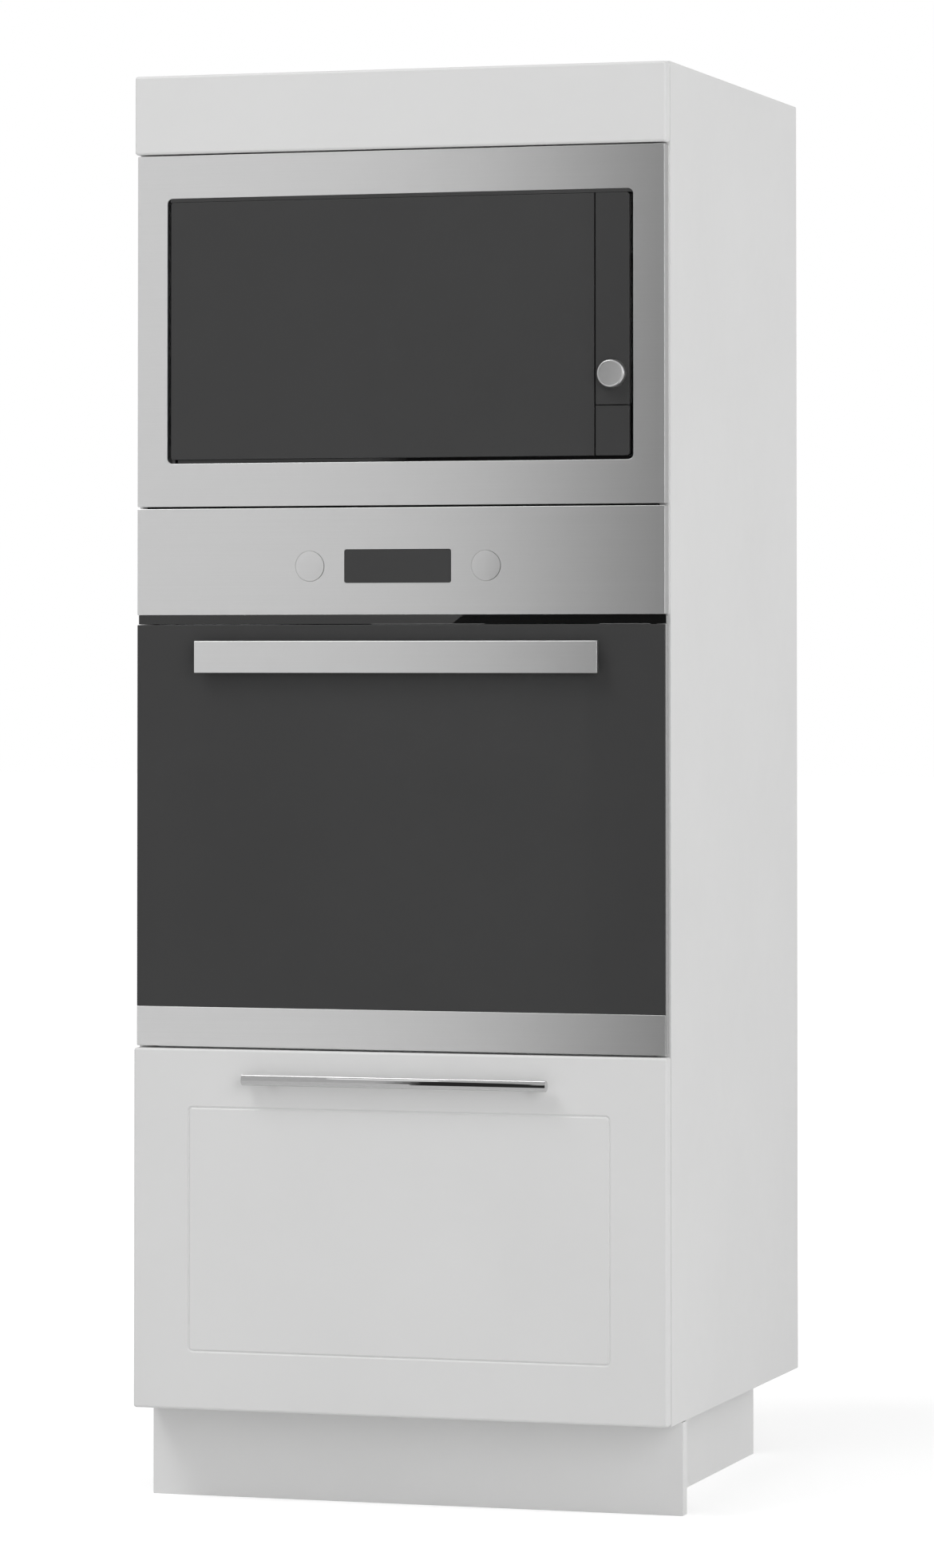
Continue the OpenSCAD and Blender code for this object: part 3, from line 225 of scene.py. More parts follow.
def dark_glass(name, colour):
    """Glass printed black behind: a deep even colour under a satin and a thin clear shine."""
    mat, nodes, links, shader, coords = new_material(name)
    mottle(nodes, links, shader, noise(nodes, links, coords, 5.0), colour, 0.03)
    wipe = noise(nodes, links, coords, 14.0, (1, 1, 3))
    links.new(spread(nodes, links, wipe, 0.28, 0.32), shader.inputs["Roughness"])
    shader.inputs["Specular IOR Level"].default_value = 0.07
    shader.inputs["Coat Weight"].default_value = 0.06
    shader.inputs["Coat Roughness"].default_value = 0.04
    return mat


def clear_glass(name, colour):
    """Clear pane with a trace of haze."""
    mat, nodes, links, shader, coords = new_material(name)
    haze = noise(nodes, links, coords, 9.0)
    links.new(spread(nodes, links, haze, 0.0, 0.03), shader.inputs["Roughness"])
    links.new(tint(nodes, links, haze, shade(colour, 0.99), colour), shader.inputs["Base Color"])
    shader.inputs["Transmission Weight"].default_value = 1.0
    shader.inputs["IOR"].default_value = 1.5
    return mat


def heat_stained(name):
    """A steel tube that the heat has browned unevenly."""
    mat, nodes, links, shader, coords = new_material(name)
    stain = noise(nodes, links, coords, 25.0)
    links.new(tint(nodes, links, stain, (0.10, 0.075, 0.06), (0.26, 0.2, 0.16)), shader.inputs["Base Color"])
    links.new(spread(nodes, links, stain, 0.42, 0.6), shader.inputs["Roughness"])
    shader.inputs["Metallic"].default_value = 0.7
    bump(nodes, links, shader, noise(nodes, links, coords, 900.0), 0.2, 0.02 * MM)
    return mat


WHITE = (0.68, 0.68, 0.678)
STEEL = (0.62, 0.62, 0.62)
LOOKS = {
    "front_lacquer": painted("lacquer", WHITE, 0.42, 900.0, 0.012),
    "carcass_board": painted("melamine", WHITE, 0.5, 1400.0, 0.02),
    "plinth_board": painted("plinth_lacquer", (0.72, 0.72, 0.718), 0.5, 900.0, 0.015),
    "drawer_board": painted("drawer_melamine", (0.7, 0.7, 0.69), 0.5, 1400.0, 0.02),
    "steel_face": brushed("brushed_steel"),
    "handle_steel": brushed("handle_steel"),
    "knob_steel": brushed("knob_steel"),
    "bright_chrome": polished("chrome", STEEL),
    "zinc_steel": galvanised("galvanised", (0.62, 0.64, 0.65)),
    "enamel_dark": enamel("enamel", (0.045, 0.045, 0.05), (0.2, 0.2, 0.21), 0.18),
    "cavity_paint": enamel("cavity_paint", (0.58, 0.59, 0.6), (0.38, 0.39, 0.4), 0.3),
    "heater_steel": heat_stained("heater_tube"),
    "black_glass": dark_glass("black_glass", (0.049, 0.049, 0.0492)),
    "clear_glass": clear_glass("clear_glass", (0.93, 0.97, 0.96)),
    "black_gloss": high_gloss("black_gloss", (0.007, 0.007, 0.007), 0.8),
    "dark_plastic": painted("dark_plastic", (0.03, 0.03, 0.031), 0.5, 1500.0, 0.03),
    "leg_plastic": painted("leg_plastic", (0.025, 0.025, 0.025), 0.55, 1300.0, 0.04),
    "pale_plastic": painted("pale_plastic", (0.72, 0.72, 0.7), 0.45, 1300.0, 0.02),
    # Black rubber, its colour also darkened so that the strip in the gap between the appliances shows as
    # painted shade
    "seal_rubber": painted("seal_rubber", (0.006, 0.006, 0.006), 0.75, 1100.0, 0.04, 0.15),
}


def dress(obj, slot):
    obj.data.materials.clear()
    obj.data.materials.append(LOOKS[slot])


def true_normals(obj):
    """Keeps the large faces flat where rounded edges meet them."""
    step = obj.modifiers.new("normals", "WEIGHTED_NORMAL")
    step.mode = "FACE_AREA"
    step.weight = 100
    step.keep_sharp = True


def smoothing_group():
    """A modifier that smooths a CAD mesh except across edges sharper than 30 degrees."""
    group = bpy.data.node_groups.new("smooth_by_angle", "GeometryNodeTree")
    group.interface.new_socket("Geometry", in_out="INPUT", socket_type="NodeSocketGeometry")
    group.interface.new_socket("Geometry", in_out="OUTPUT", socket_type="NodeSocketGeometry")
    nodes, links = group.nodes, group.links
    start, end = nodes.new("NodeGroupInput"), nodes.new("NodeGroupOutput")
    faces = nodes.new("GeometryNodeSetShadeSmooth")
    faces.domain = "FACE"
    edges = nodes.new("GeometryNodeSetShadeSmooth")
    edges.domain = "EDGE"
    edges.inputs["Shade Smooth"].default_value = False
    angle = nodes.new("GeometryNodeInputMeshEdgeAngle")
    sharp = nodes.new("FunctionNodeCompare")
    sharp.data_type = "FLOAT"
    sharp.operation = "GREATER_THAN"
    sharp.inputs["B"].default_value = math.radians(30)
    links.new(start.outputs[0], faces.inputs["Geometry"])
    links.new(faces.outputs[0], edges.inputs["Geometry"])
    links.new(angle.outputs["Unsigned Angle"], sharp.inputs["A"])
    links.new(sharp.outputs["Result"], edges.inputs["Selection"])
    links.new(edges.outputs[0], end.inputs[0])
    return group


SMOOTHING = smoothing_group()


# ---------------------------------------------------------------- mesh making

SMOOTH_ANGLE = 35.0
LATHE_ANGLE = 30.0
# Doubled points that a cut leaves are joined within this distance
WELD = 0.002


def smooth(mesh, angle):
    """Smooth faces, with the edges that are sharper than the angle, in degrees, kept sharp."""
    mesh.polygons.foreach_set("use_smooth", [True] * len(mesh.polygons))
    mesh.set_sharp_from_angle(angle=math.radians(angle))


def make_mesh(name, verts, faces, smooth_angle=SMOOTH_ANGLE):
    mesh = bpy.data.meshes.new(name)
    bm = bmesh.new()
    made = [bm.verts.new(v) for v in verts]
    for face in faces:
        bm.faces.new([made[i] for i in face])
    bmesh.ops.recalc_face_normals(bm, faces=bm.faces)
    bm.to_mesh(mesh)
    bm.free()
    flatten_uv(mesh)
    smooth(mesh, smooth_angle)
    return mesh


def flatten_uv(mesh):
    """A map in which u runs along X, so that the tangent follows the hair lines of the steel."""
    if not mesh.uv_layers:
        mesh.uv_layers.new(name="flat")
    layer = mesh.uv_layers[0]
    for loop in mesh.loops:
        co = mesh.vertices[loop.vertex_index].co
        layer.data[loop.index].uv = (co.x + 0.31 * co.y, co.z + 0.17 * co.y)


def add_piece(name, mesh, body, slot, *replaced):
    """A visible piece that rides a body, in the place of the CAD nodes that it replaces."""
    obj = bpy.data.objects.new(name, mesh)
    scene.collection.objects.link(obj)
    dress(obj, slot)
    true_normals(obj)
    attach(obj, body)
    if replaced:
        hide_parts(*replaced)


def rect_loop(x, z, radii, y, inset=0.0, steps=6):
    """A rectangle drawn in by inset, with one radius for its corners or four from the lower left round."""
    if not isinstance(radii, tuple):
        radii = (radii,) * 4
    x0, x1, z0, z1 = x[0] + inset, x[1] - inset, z[0] + inset, z[1] - inset
    corners = [(x0, z0, 1, 1, 180), (x1, z0, -1, 1, 270), (x1, z1, -1, -1, 0), (x0, z1, 1, -1, 90)]
    points = []
    for (cx, cz, sx, sz, start), radius in zip(corners, radii):
        r = max(radius - inset, 0.06)
        for i in range(steps + 1):
            a = math.radians(start + 90 * i / steps)
            points.append(at(cx + sx * r + r * math.cos(a), y, cz + sz * r + r * math.sin(a)))
    return points


def skin(loops, cap_start=True, cap_end=True, closed=False):
    """Vertices and faces of a skin stretched over loops of equal length."""
    count = len(loops[0])
    verts = [p for loop in loops for p in loop]
    faces = []
    pairs = list(zip(range(len(loops)), range(1, len(loops))))
    if closed:
        pairs.append((len(loops) - 1, 0))
    for a, b in pairs:
        for i in range(count):
            j = (i + 1) % count
            faces.append((a * count + i, a * count + j, b * count + j, b * count + i))
    if cap_start:
        faces.append(tuple(range(count)))
    if cap_end:
        faces.append(tuple((len(loops) - 1) * count + i for i in range(count)))
    return verts, faces


def rounding(radius, steps=4):
    """(inset, depth) pairs of a quarter round from the side to the face."""
    angles = [math.radians(90 * i / steps) for i in range(steps + 1)]
    return [(radius * (1 - math.cos(a)), radius * (1 - math.sin(a))) for a in angles]


def slab_loops(x, y, z, radii, edge, back_edge=0.3):
    """Loops of a plate from its back to its rounded front edge."""
    loops = [rect_loop(x, z, radii, y[1], back_edge), rect_loop(x, z, radii, y[1] - back_edge)]
    for inset, depth in rounding(edge):
        loops.append(rect_loop(x, z, radii, y[0] + depth, inset))
    return loops


def slab(name, *shape):
    """A plate's mesh; the shape is what slab_loops takes."""
    return make_mesh(name, *skin(slab_loops(*shape)))


AXES = {"X": (Vector((1, 0, 0)), Vector((0, 1, 0)), Vector((0, 0, 1))),
        "Y": (Vector((0, 1, 0)), Vector((1, 0, 0)), Vector((0, 0, 1)))}


def lathe_mesh(name, profile, origin, axis, steps=72, ring=False):
    """A profile of (radius, distance along) turned about an axis; a ring's profile closes on itself."""
    along, u, v = AXES[axis]
    verts, faces, rows = [], [], []
    for r, t in profile:
        centre = origin + along * (t * MM)
        if r < 1e-6:
            rows.append([len(verts)])
            verts.append(centre)
            continue
        rows.append(list(range(len(verts), len(verts) + steps)))
        for i in range(steps):
            a = 2 * math.pi * i / steps
            verts.append(centre + (u * math.cos(a) + v * math.sin(a)) * (r * MM))
    pairs = list(zip(rows, rows[1:]))
    if ring:
        pairs.append((rows[-1], rows[0]))
    for a, b in pairs:
        for i in range(steps):
            j = (i + 1) % steps
            face = [a[i % len(a)], a[j % len(a)], b[j % len(b)], b[i % len(b)]]
            faces.append(tuple(dict.fromkeys(face)))
    return make_mesh(name, verts, faces, LATHE_ANGLE)


def drill(name, radius, reach, place, steps=96):
    """A round cutter that reaches out on both sides of a place."""
    profile = [(0, -reach), (radius, -reach), (radius, reach), (0, reach)]
    return lathe_mesh(name, profile, place, "Y", steps)


def joined(name, meshes, smooth_angle=SMOOTH_ANGLE):
    """One mesh from several."""
    bm = bmesh.new()
    for mesh in meshes:
        bm.from_mesh(mesh)
    out = bpy.data.meshes.new(name)
    bm.to_mesh(out)
    bm.free()
    smooth(out, smooth_angle)
    return out


def cut_out(mesh, cutters, name, edge):
    """The mesh less its cutters, with the edges of the cuts rounded."""
    obj = bpy.data.objects.new(name + "_work", mesh)
    scene.collection.objects.link(obj)
    tools = []
    for cutter in cutters:
        tool = bpy.data.objects.new(name + "_tool", cutter)
        scene.collection.objects.link(tool)
        tools.append(tool)
        step = obj.modifiers.new("cut", "BOOLEAN")
        step.operation = "DIFFERENCE"
        step.solver = "EXACT"
        step.object = tool
    bevel = obj.modifiers.new("edge", "BEVEL")
    bevel.width = edge * MM
    bevel.segments = 2
    bevel.limit_method = "ANGLE"
    bevel.angle_limit = math.radians(50)
    bpy.context.view_layer.update()
    out = bpy.data.meshes.new_from_object(obj.evaluated_get(bpy.context.evaluated_depsgraph_get()))
    for used in [obj, *tools]:
        bpy.data.objects.remove(used)
    out.name = name
    welded = bmesh.new()
    welded.from_mesh(out)
    bmesh.ops.remove_doubles(welded, verts=welded.verts, dist=WELD * MM)
    welded.to_mesh(out)
    welded.free()
    flatten_uv(out)
    smooth(out, SMOOTH_ANGLE)
    return out


def soften(node, width):
    """Smooths a CAD node's curves, and rounds its sharp edges where a width is given."""
    obj = NODES[node]
    weld = obj.modifiers.new("weld", "WELD")
    weld.merge_threshold = 0.01 * MM
    if width:
        bevel = obj.modifiers.new("edge", "BEVEL")
        bevel.width = width * MM
        bevel.segments = 2
        bevel.limit_method = "ANGLE"
        bevel.angle_limit = math.radians(SMOOTH_ANGLE)
    shading = obj.modifiers.new("smooth", "NODES")
    shading.node_group = SMOOTHING
    true_normals(obj)


# ---------------------------------------------------------------- carcass, plinth, fronts

for node, obj in NODES.items():
    dress(obj, next(part["material_slot"] for part in frame["record"]["subparts"] if part["node"] == node))

# Radii of the rounded edges of CAD meshes that are shown as they are
EDGES = {"side_panel_left": 1.2, "side_panel_right": 1.2, "plinth_front": 0.6, "plinth_sides": 0.6}
EDGES.update(dict.fromkeys(("base_panel", "oven_shelf", "microwave_shelf", "top_panel", "back_panels",
                            "drawer_sides", "drawer_back", "drawer_bottom"), 0.5))
EDGES.update(dict.fromkeys(("oven_vent_strip", "microwave_bezel", "door_frame", "microwave_door_frame",
                            "oven_front_frame"), 0.2))
for node in NODES:
    soften(node, EDGES.get(node, 0.0))

FRONT_R = 3.0
add_piece("fascia_panel", slab("fascia_panel", *extent("top_fascia"), FRONT_R, FRONT_R),
          "cabinet", "front_lacquer", "top_fascia")

# Drawer front: rounded edges, and a groove routed around its field
GROOVE_AT, GROOVE_W, GROOVE_DEPTH, GROOVE_R, GROOVE_ANGLE = 63.5, 3.6, 1.4, 2.4, 25.0
front_x, front_y, front_z = extent("drawer_front")
loops = slab_loops(front_x, front_y, front_z, FRONT_R, FRONT_R)
for across in (-1.0, -0.08, 0.08, 1.0):
    loops.append(rect_loop(front_x, front_z, GROOVE_R + GROOVE_AT + GROOVE_W / 2,
                           front_y[0] + GROOVE_DEPTH * (1 - abs(across)), GROOVE_AT + across * GROOVE_W / 2))
add_piece("drawer_panel", make_mesh("drawer_panel", *skin(loops), GROOVE_ANGLE),
          "drawer", "front_lacquer", "drawer_front")

# Drawer handle: a round bar with softened ends on two posts that flare at their feet
BAR_R, BAR_END, POST_X = 6.0, 0.9, 144.0
bar_x, bar_y, bar_z = extent("drawer_handle")
axis_y, axis_z, length = bar_y[0] + BAR_R, middle(bar_z), bar_x[1] - bar_x[0]
profile = [(0, 0), (BAR_R - BAR_END, 0)]
profile += [(BAR_R - BAR_END * (1 - math.sin(math.radians(a))), BAR_END * (1 - math.cos(math.radians(a))))
            for a in (30, 60, 90)]
profile += [(radius, length - along) for radius, along in reversed(profile)]
bar = lathe_mesh("bar", profile, at(bar_x[0], axis_y, axis_z), "X")
foot = -axis_y
profile = [(0, 2.0), (4.4, 2.0), (4.4, foot - 2.2), (4.7, foot - 1.2), (5.0, foot - 0.5), (5.0, foot),
           (0, foot)]
posts = [lathe_mesh("post", profile, at(side * POST_X, axis_y, axis_z), "Y", 40) for side in (-1, 1)]
add_piece("bar_handle", joined("bar_handle", [bar, *posts], LATHE_ANGLE),
          "drawer", "bright_chrome", "drawer_handle")

# ---------------------------------------------------------------- microwave front

# Thickness of the steel faces and radius of their folded edges
SHEET, FOLD = 1.2, 0.6
# Radii of a black plate: corner in a corner of the cut-out, corner at a seam, edge
CORNER, SQUARE, PLATE_EDGE = 3.2, 0.4, 0.35
# Radius of a knob's bore or shaft hole
SHAFT_HOLE_R = 3.05

# Trim: a steel face with a rounded cut-out, folded back to the edge of the carcass
CUT_HALF_W, CUT_FOOT, CUT_TOP, CUT_R, CUT_EDGE, TRIM_R = 263.0, 47.0, 336.0, 6.0, 0.5, 1.0
trim_x, trim_y, trim_z = extent("microwave_trim")
cut_x, cut_z = (-CUT_HALF_W, CUT_HALF_W), (trim_z[0] + CUT_FOOT, trim_z[0] + CUT_TOP)
face, inside = trim_y[0], trim_y[0] + SHEET
fold_end = extent("side_panel_right")[1][0] - 0.1
loops = [rect_loop(trim_x, trim_z, TRIM_R, fold_end)]
loops += [rect_loop(trim_x, trim_z, TRIM_R, face + depth, inset) for inset, depth in rounding(FOLD)]
loops += [rect_loop(cut_x, cut_z, CUT_R, face + depth, -inset)
          for inset, depth in reversed(rounding(CUT_EDGE, 3))]
loops += [rect_loop(cut_x, cut_z, CUT_R, inside), rect_loop(trim_x, trim_z, TRIM_R, inside, SHEET),
          rect_loop(trim_x, trim_z, TRIM_R, fold_end, SHEET)]
add_piece("microwave_trim_frame", make_mesh("microwave_trim_frame", *skin(loops, False, False, True)),
          "cabinet", "steel_face", "microwave_trim")

glass_x, glass_y, glass_z = extent("microwave_door_glass")
add_piece("microwave_glass",
          slab("microwave_glass", glass_x, glass_y, glass_z, (CORNER, SQUARE, SQUARE, CORNER), PLATE_EDGE),
          "microwave_door", "black_glass", "microwave_door_glass")

strip_x, strip_y, strip_z = extent("microwave_control_panel")
dial_x, dial_y, dial_z = extent("microwave_knob")
strip = slab("strip", strip_x, strip_y, strip_z, (SQUARE, SQUARE, CORNER, SQUARE), PLATE_EDGE)
bore = drill("bore", SHAFT_HOLE_R, 20, at(middle(dial_x), 6, middle(dial_z)), 32)
add_piece("microwave_strip", cut_out(strip, [bore], "microwave_strip", 0.05),
          "cabinet", "black_glass", "microwave_control_panel")

# Door button: a cap in line with the strip, on a square stem
CAP_T, STEM_HALF = 4.0, 4.0
_, button_y, button_z = extent("open_button")
cap_back = button_y[0] + CAP_T
cap = slab("cap", strip_x, (button_y[0], cap_back), button_z, (SQUARE, CORNER, SQUARE, SQUARE), PLATE_EDGE)
stem_x = (middle(strip_x) - STEM_HALF, middle(strip_x) + STEM_HALF)
stem_z = (middle(button_z) - STEM_HALF, middle(button_z) + STEM_HALF)
stem = slab("stem", stem_x, (cap_back, button_y[1]), stem_z, SQUARE, 0.05)
add_piece("microwave_button", joined("microwave_button", [cap, stem]),
          "door_button", "black_glass", "open_button")

# Black lip that closes the gap above the door and its strip, and ends short of the cut-out's left corner
LIP_GAP, LIP_SEAM, LIP_START = 0.15, 0.3, 3.4
# Reach of the cutters across and in depth
CUTTER_X, CUTTER_Y = (-300, 300), (-20, 40)
lip = slab("lip", (cut_x[0] + LIP_GAP, cut_x[1] - LIP_GAP), (face + 0.1, face + 1.5),
           (cut_z[0] + LIP_GAP, cut_z[1] - LIP_GAP), CUT_R - LIP_GAP, 0.2)
below = slab("below", CUTTER_X, CUTTER_Y, (cut_z[0] - 50, glass_z[1] + LIP_SEAM), 1.0, 0.5)
beside = slab("beside", (CUTTER_X[0], cut_x[0] + LIP_START), CUTTER_Y, (cut_z[0] - 40, cut_z[1] + 50),
              1.0, 0.5)
add_piece("window_lip", cut_out(lip, [below, beside], "window_lip", 0.1), "cabinet", "black_glass")

# Timer knob: a sunk face inside a bevelled rim, and the shaft behind
DIAL_RIM, DIAL_RIM_DEPTH, DIAL_BACK, DIAL_SHAFT_R = 1.9, 5.0, 2.8, 3.0
dial_r, back, shaft_end = (dial_x[1] - dial_x[0]) / 2, DIAL_BACK - dial_y[0], dial_y[1] - dial_y[0]
profile = [(0, 0.5), (dial_r - 2.7, 0.5), (dial_r - 2.3, 0.35), (dial_r - 2.1, 0.05), (dial_r - DIAL_RIM, 0)]
profile += [(dial_r - DIAL_RIM + DIAL_RIM * math.sin(math.radians(a)),
             DIAL_RIM_DEPTH * (1 - math.cos(math.radians(a)))) for a in range(10, 91, 10)]
profile += [(dial_r, back), (DIAL_SHAFT_R, back), (DIAL_SHAFT_R, shaft_end), (0, shaft_end)]
dial = lathe_mesh("timer_dial", profile, at(middle(dial_x), dial_y[0], middle(dial_z)), "Y", 96)
add_piece("timer_dial", dial, "timer_knob", "knob_steel", "microwave_knob")

# Painted shade: a near-black strip set deep in the gap between the two appliances, standing in for the shadow
# there
SHADE_STRIP_X, SHADE_STRIP_Y, SHADE_STRIP_GAP = (-288, 288), (8.0, 17.5), 0.2
panel_x, panel_y, panel_z = extent("oven_control_panel")
shade_strip_z = (panel_z[1] + SHADE_STRIP_GAP, trim_z[0] - SHADE_STRIP_GAP)
add_piece("gap_shade_strip", slab("gap_shade_strip", SHADE_STRIP_X, SHADE_STRIP_Y, shade_strip_z, 0.3, 0.3), "cabinet", "seal_rubber")

# ---------------------------------------------------------------- oven front

# Control panel: a folded steel tray with two round holes and a window
HOLE_GAP, WINDOW_HALF_W, WINDOW_HALF_H, WINDOW_R = 0.6, 60.3, 18.2, 2.4
left_x, left_y, left_z = extent("knob_left")
right_x = extent("knob_right")[0]
knob_r, knob_z = (left_x[1] - left_x[0]) / 2, middle(left_z)
hole_r = knob_r + HOLE_GAP
window_x, window_z = (-WINDOW_HALF_W, WINDOW_HALF_W), (knob_z - WINDOW_HALF_H, knob_z + WINDOW_HALF_H)
face, inside = panel_y[0], panel_y[0] + SHEET
loops = [rect_loop(panel_x, panel_z, 0.2, inside, SHEET), rect_loop(panel_x, panel_z, 0.2, panel_y[1], SHEET),
         rect_loop(panel_x, panel_z, 1.0, panel_y[1])]
loops += [rect_loop(panel_x, panel_z, 1.0, face + depth, inset) for inset, depth in rounding(FOLD)]
tray = make_mesh("tray", *skin(loops))
cutters = [drill("hole", hole_r, 5, at(middle(x), face, knob_z)) for x in (left_x, right_x)]
loops = [rect_loop(window_x, window_z, WINDOW_R, face + reach) for reach in (-5, 5)]
cutters.append(make_mesh("window", *skin(loops)))
add_piece("oven_panel", cut_out(tray, cutters, "oven_panel", 0.25),
          "cabinet", "steel_face", "oven_control_panel")

# Thin collars close the gaps around the two knobs
collar_in, collar_out = knob_r + 0.1, hole_r + 0.05
profile = [(collar_in, 0.45), (collar_out, 0.45), (collar_out, 1.1), (collar_in, 1.1)]
collars = [lathe_mesh("collar", profile, at(middle(x), face, knob_z), "Y", 96, ring=True)
           for x in (left_x, right_x)]
add_piece("knob_collars", joined("knob_collars", collars), "cabinet", "steel_face")

# Display: a pane in the window and a case behind it
PANE_GAP = 0.3
display_x, display_y, display_z = extent("oven_display")
pane = slab("pane", (window_x[0] + PANE_GAP, window_x[1] - PANE_GAP), (display_y[0], inside),
            (window_z[0] + PANE_GAP, window_z[1] - PANE_GAP), WINDOW_R - PANE_GAP, 0.2, 0.05)
case = slab("case", display_x, (inside, display_y[1]), display_z, 1.5, 0.05)
add_piece("oven_display_pane", joined("oven_display_pane", [pane, case]),
          "cabinet", "black_glass", "oven_display")

# Oven knobs: flat caps with a bore for the shaft
depth, KNOB_WALL = left_y[1] - left_y[0], 4.0
profile = [(0, 0), (knob_r - 0.7, 0), (knob_r - 0.25, 0.2), (knob_r, 0.7), (knob_r, depth),
           (SHAFT_HOLE_R, depth), (SHAFT_HOLE_R, KNOB_WALL), (0, KNOB_WALL)]
for body, node, x in (("left_knob", "knob_left", left_x), ("right_knob", "knob_right", right_x)):
    add_piece(body + "_cap", lathe_mesh(body + "_cap", profile, at(middle(x), left_y[0], knob_z), "Y", 96),
              body, "knob_steel", node)

glass_x, glass_y, glass_z = extent("door_glass")
add_piece("oven_glass", slab("oven_glass", glass_x, glass_y, glass_z, 0.8, 0.6),
          "oven_door", "black_glass", "door_glass")

# Steel trim at the foot of the door, folded back below it around the hinge arms
ARM_X, ARM_HALF = 232.0, 3.9
foot_x, foot_y, foot_z = extent("door_trim")
inside = foot_y[0] + SHEET
sheets = [slab("face", foot_x, (foot_y[0], inside), foot_z, 0.8, 0.45, 0.1)]
sheets += [slab("fold", x, (inside, foot_y[1]), (foot_z[0], foot_z[0] + SHEET), 0.1, 0.05)
           for x in ((foot_x[0] + 0.3, -ARM_X - ARM_HALF), (-ARM_X + ARM_HALF, ARM_X - ARM_HALF),
                     (ARM_X + ARM_HALF, foot_x[1] - 0.3))]
add_piece("door_foot_trim", joined("door_foot_trim", sheets), "oven_door", "steel_face", "door_trim")

# Steel edging down both sides of the door, behind the glass
EDGING_T, EDGING_D = 0.7, 8.5
edging = [slab("edging", (x, x + EDGING_T), (glass_y[1], glass_y[1] + EDGING_D),
               (foot_z[0] + 0.2, glass_z[1] - 0.2), 0.2, 0.1, 0.1)
          for x in (glass_x[0] + 0.05, glass_x[1] - 0.05 - EDGING_T)]
add_piece("door_side_edging", joined("door_side_edging", edging), "oven_door", "steel_face")

# Door handle: a flat plate on two posts that flare at their feet
PLATE_T, POST_X = 6.0, 200.0
plate_x, plate_y, plate_z = extent("oven_handle")
plate = slab("plate", plate_x, (plate_y[0], plate_y[0] + PLATE_T), plate_z, 0.8, 0.7, 0.5)
foot = plate_y[1] - plate_y[0]
profile = [(0, 5.7), (6.6, 5.7), (6.6, foot - 1.2), (7.0, foot - 0.6), (7.0, foot), (0, foot)]
posts = [lathe_mesh("post", profile, at(side * POST_X, plate_y[0], middle(plate_z)), "Y", 48)
         for side in (-1, 1)]
add_piece("oven_door_handle", joined("oven_door_handle", [plate, *posts]),
          "oven_door", "handle_steel", "oven_handle")

# ---------------------------------------------------------------- studio

def studio_material(name, nodes_for):
    """A material whose surface is what nodes_for makes."""
    mat = bpy.data.materials.new(name)
    mat.use_nodes = True
    nodes, links = mat.node_tree.nodes, mat.node_tree.links
    nodes.clear()
    out = nodes.new("ShaderNodeOutputMaterial")
    links.new(nodes_for(nodes, links), out.inputs["Surface"])
    return mat


def maths(nodes, links, operation, *terms):
    """A maths node's result; each term is a number or another node's output."""
    node = nodes.new("ShaderNodeMath")
    node.operation = operation
    for socket, term in zip(node.inputs, terms):
        if isinstance(term, (int, float)):
            socket.default_value = term
        else:
            links.new(term, socket)
    return node.outputs[0]


# Light that the floor sends out: near the unit and far from it as the camera sees it, and as gloss sees it
FLOOR_GLOW, FLOOR_GLOW_FAR, FLOOR_GLOW_IN_GLOSS = 0.40, 0.66, 0.2
FLOOR_NEAR, FLOOR_FAR = 0.8, 2.4


def floor_nodes(nodes, links):
    """Pale paint that keeps the shadow and meets the white background."""
    diffuse = nodes.new("ShaderNodeBsdfDiffuse")
    diffuse.inputs["Color"].default_value = (0.86, 0.86, 0.86, 1)
    glow = nodes.new("ShaderNodeEmission")
    path = nodes.new("ShaderNodeLightPath")
    mirrored = maths(nodes, links, "MAXIMUM", path.outputs["Is Glossy Ray"],
                     path.outputs["Is Transmission Ray"])
    in_gloss = maths(nodes, links, "MULTIPLY", mirrored, FLOOR_GLOW_IN_GLOSS)
    coords = nodes.new("ShaderNodeTexCoord")
    away = nodes.new("ShaderNodeVectorMath")
    away.operation = "LENGTH"
    links.new(coords.outputs["Object"], away.inputs[0])
    to_white = spread(nodes, links, away.outputs["Value"], FLOOR_GLOW, FLOOR_GLOW_FAR, FLOOR_NEAR, FLOOR_FAR)
    strength = maths(nodes, links, "MULTIPLY_ADD", path.outputs["Is Camera Ray"], to_white, in_gloss)
    links.new(strength, glow.inputs["Strength"])
    add = nodes.new("ShaderNodeAddShader")
    links.new(diffuse.outputs[0], add.inputs[0])
    links.new(glow.outputs[0], add.inputs[1])
    return add.outputs[0]


def card_nodes(level, polished_only):
    """A card seen only in gloss and only at first hand: by mirror-smooth surfaces, or else by satin ones."""
    def make(nodes, links):
        glow = nodes.new("ShaderNodeEmission")
        glow.inputs["Color"].default_value = (level, level, level, 1)
        clear = nodes.new("ShaderNodeBsdfTransparent")
        path = nodes.new("ShaderNodeLightPath")
        first_hand = maths(nodes, links, "LESS_THAN", path.outputs["Ray Depth"], 1.5)
        kind = path.outputs["Is Singular Ray"]
        if not polished_only:
            kind = maths(nodes, links, "SUBTRACT", 1.0, kind)
        mix = nodes.new("ShaderNodeMixShader")
        links.new(maths(nodes, links, "MULTIPLY", first_hand, kind), mix.inputs[0])
        links.new(clear.outputs[0], mix.inputs[1])
        links.new(glow.outputs[0], mix.inputs[2])
        return mix.outputs[0]
    return make


def plane(name, corners, material):
    """A flat piece of the studio, in metres."""
    mesh = bpy.data.meshes.new(name)
    mesh.from_pydata([Vector(c) for c in corners], [], [tuple(range(len(corners)))])
    obj = bpy.data.objects.new(name, mesh)
    scene.collection.objects.link(obj)
    mesh.materials.append(material)
    return obj


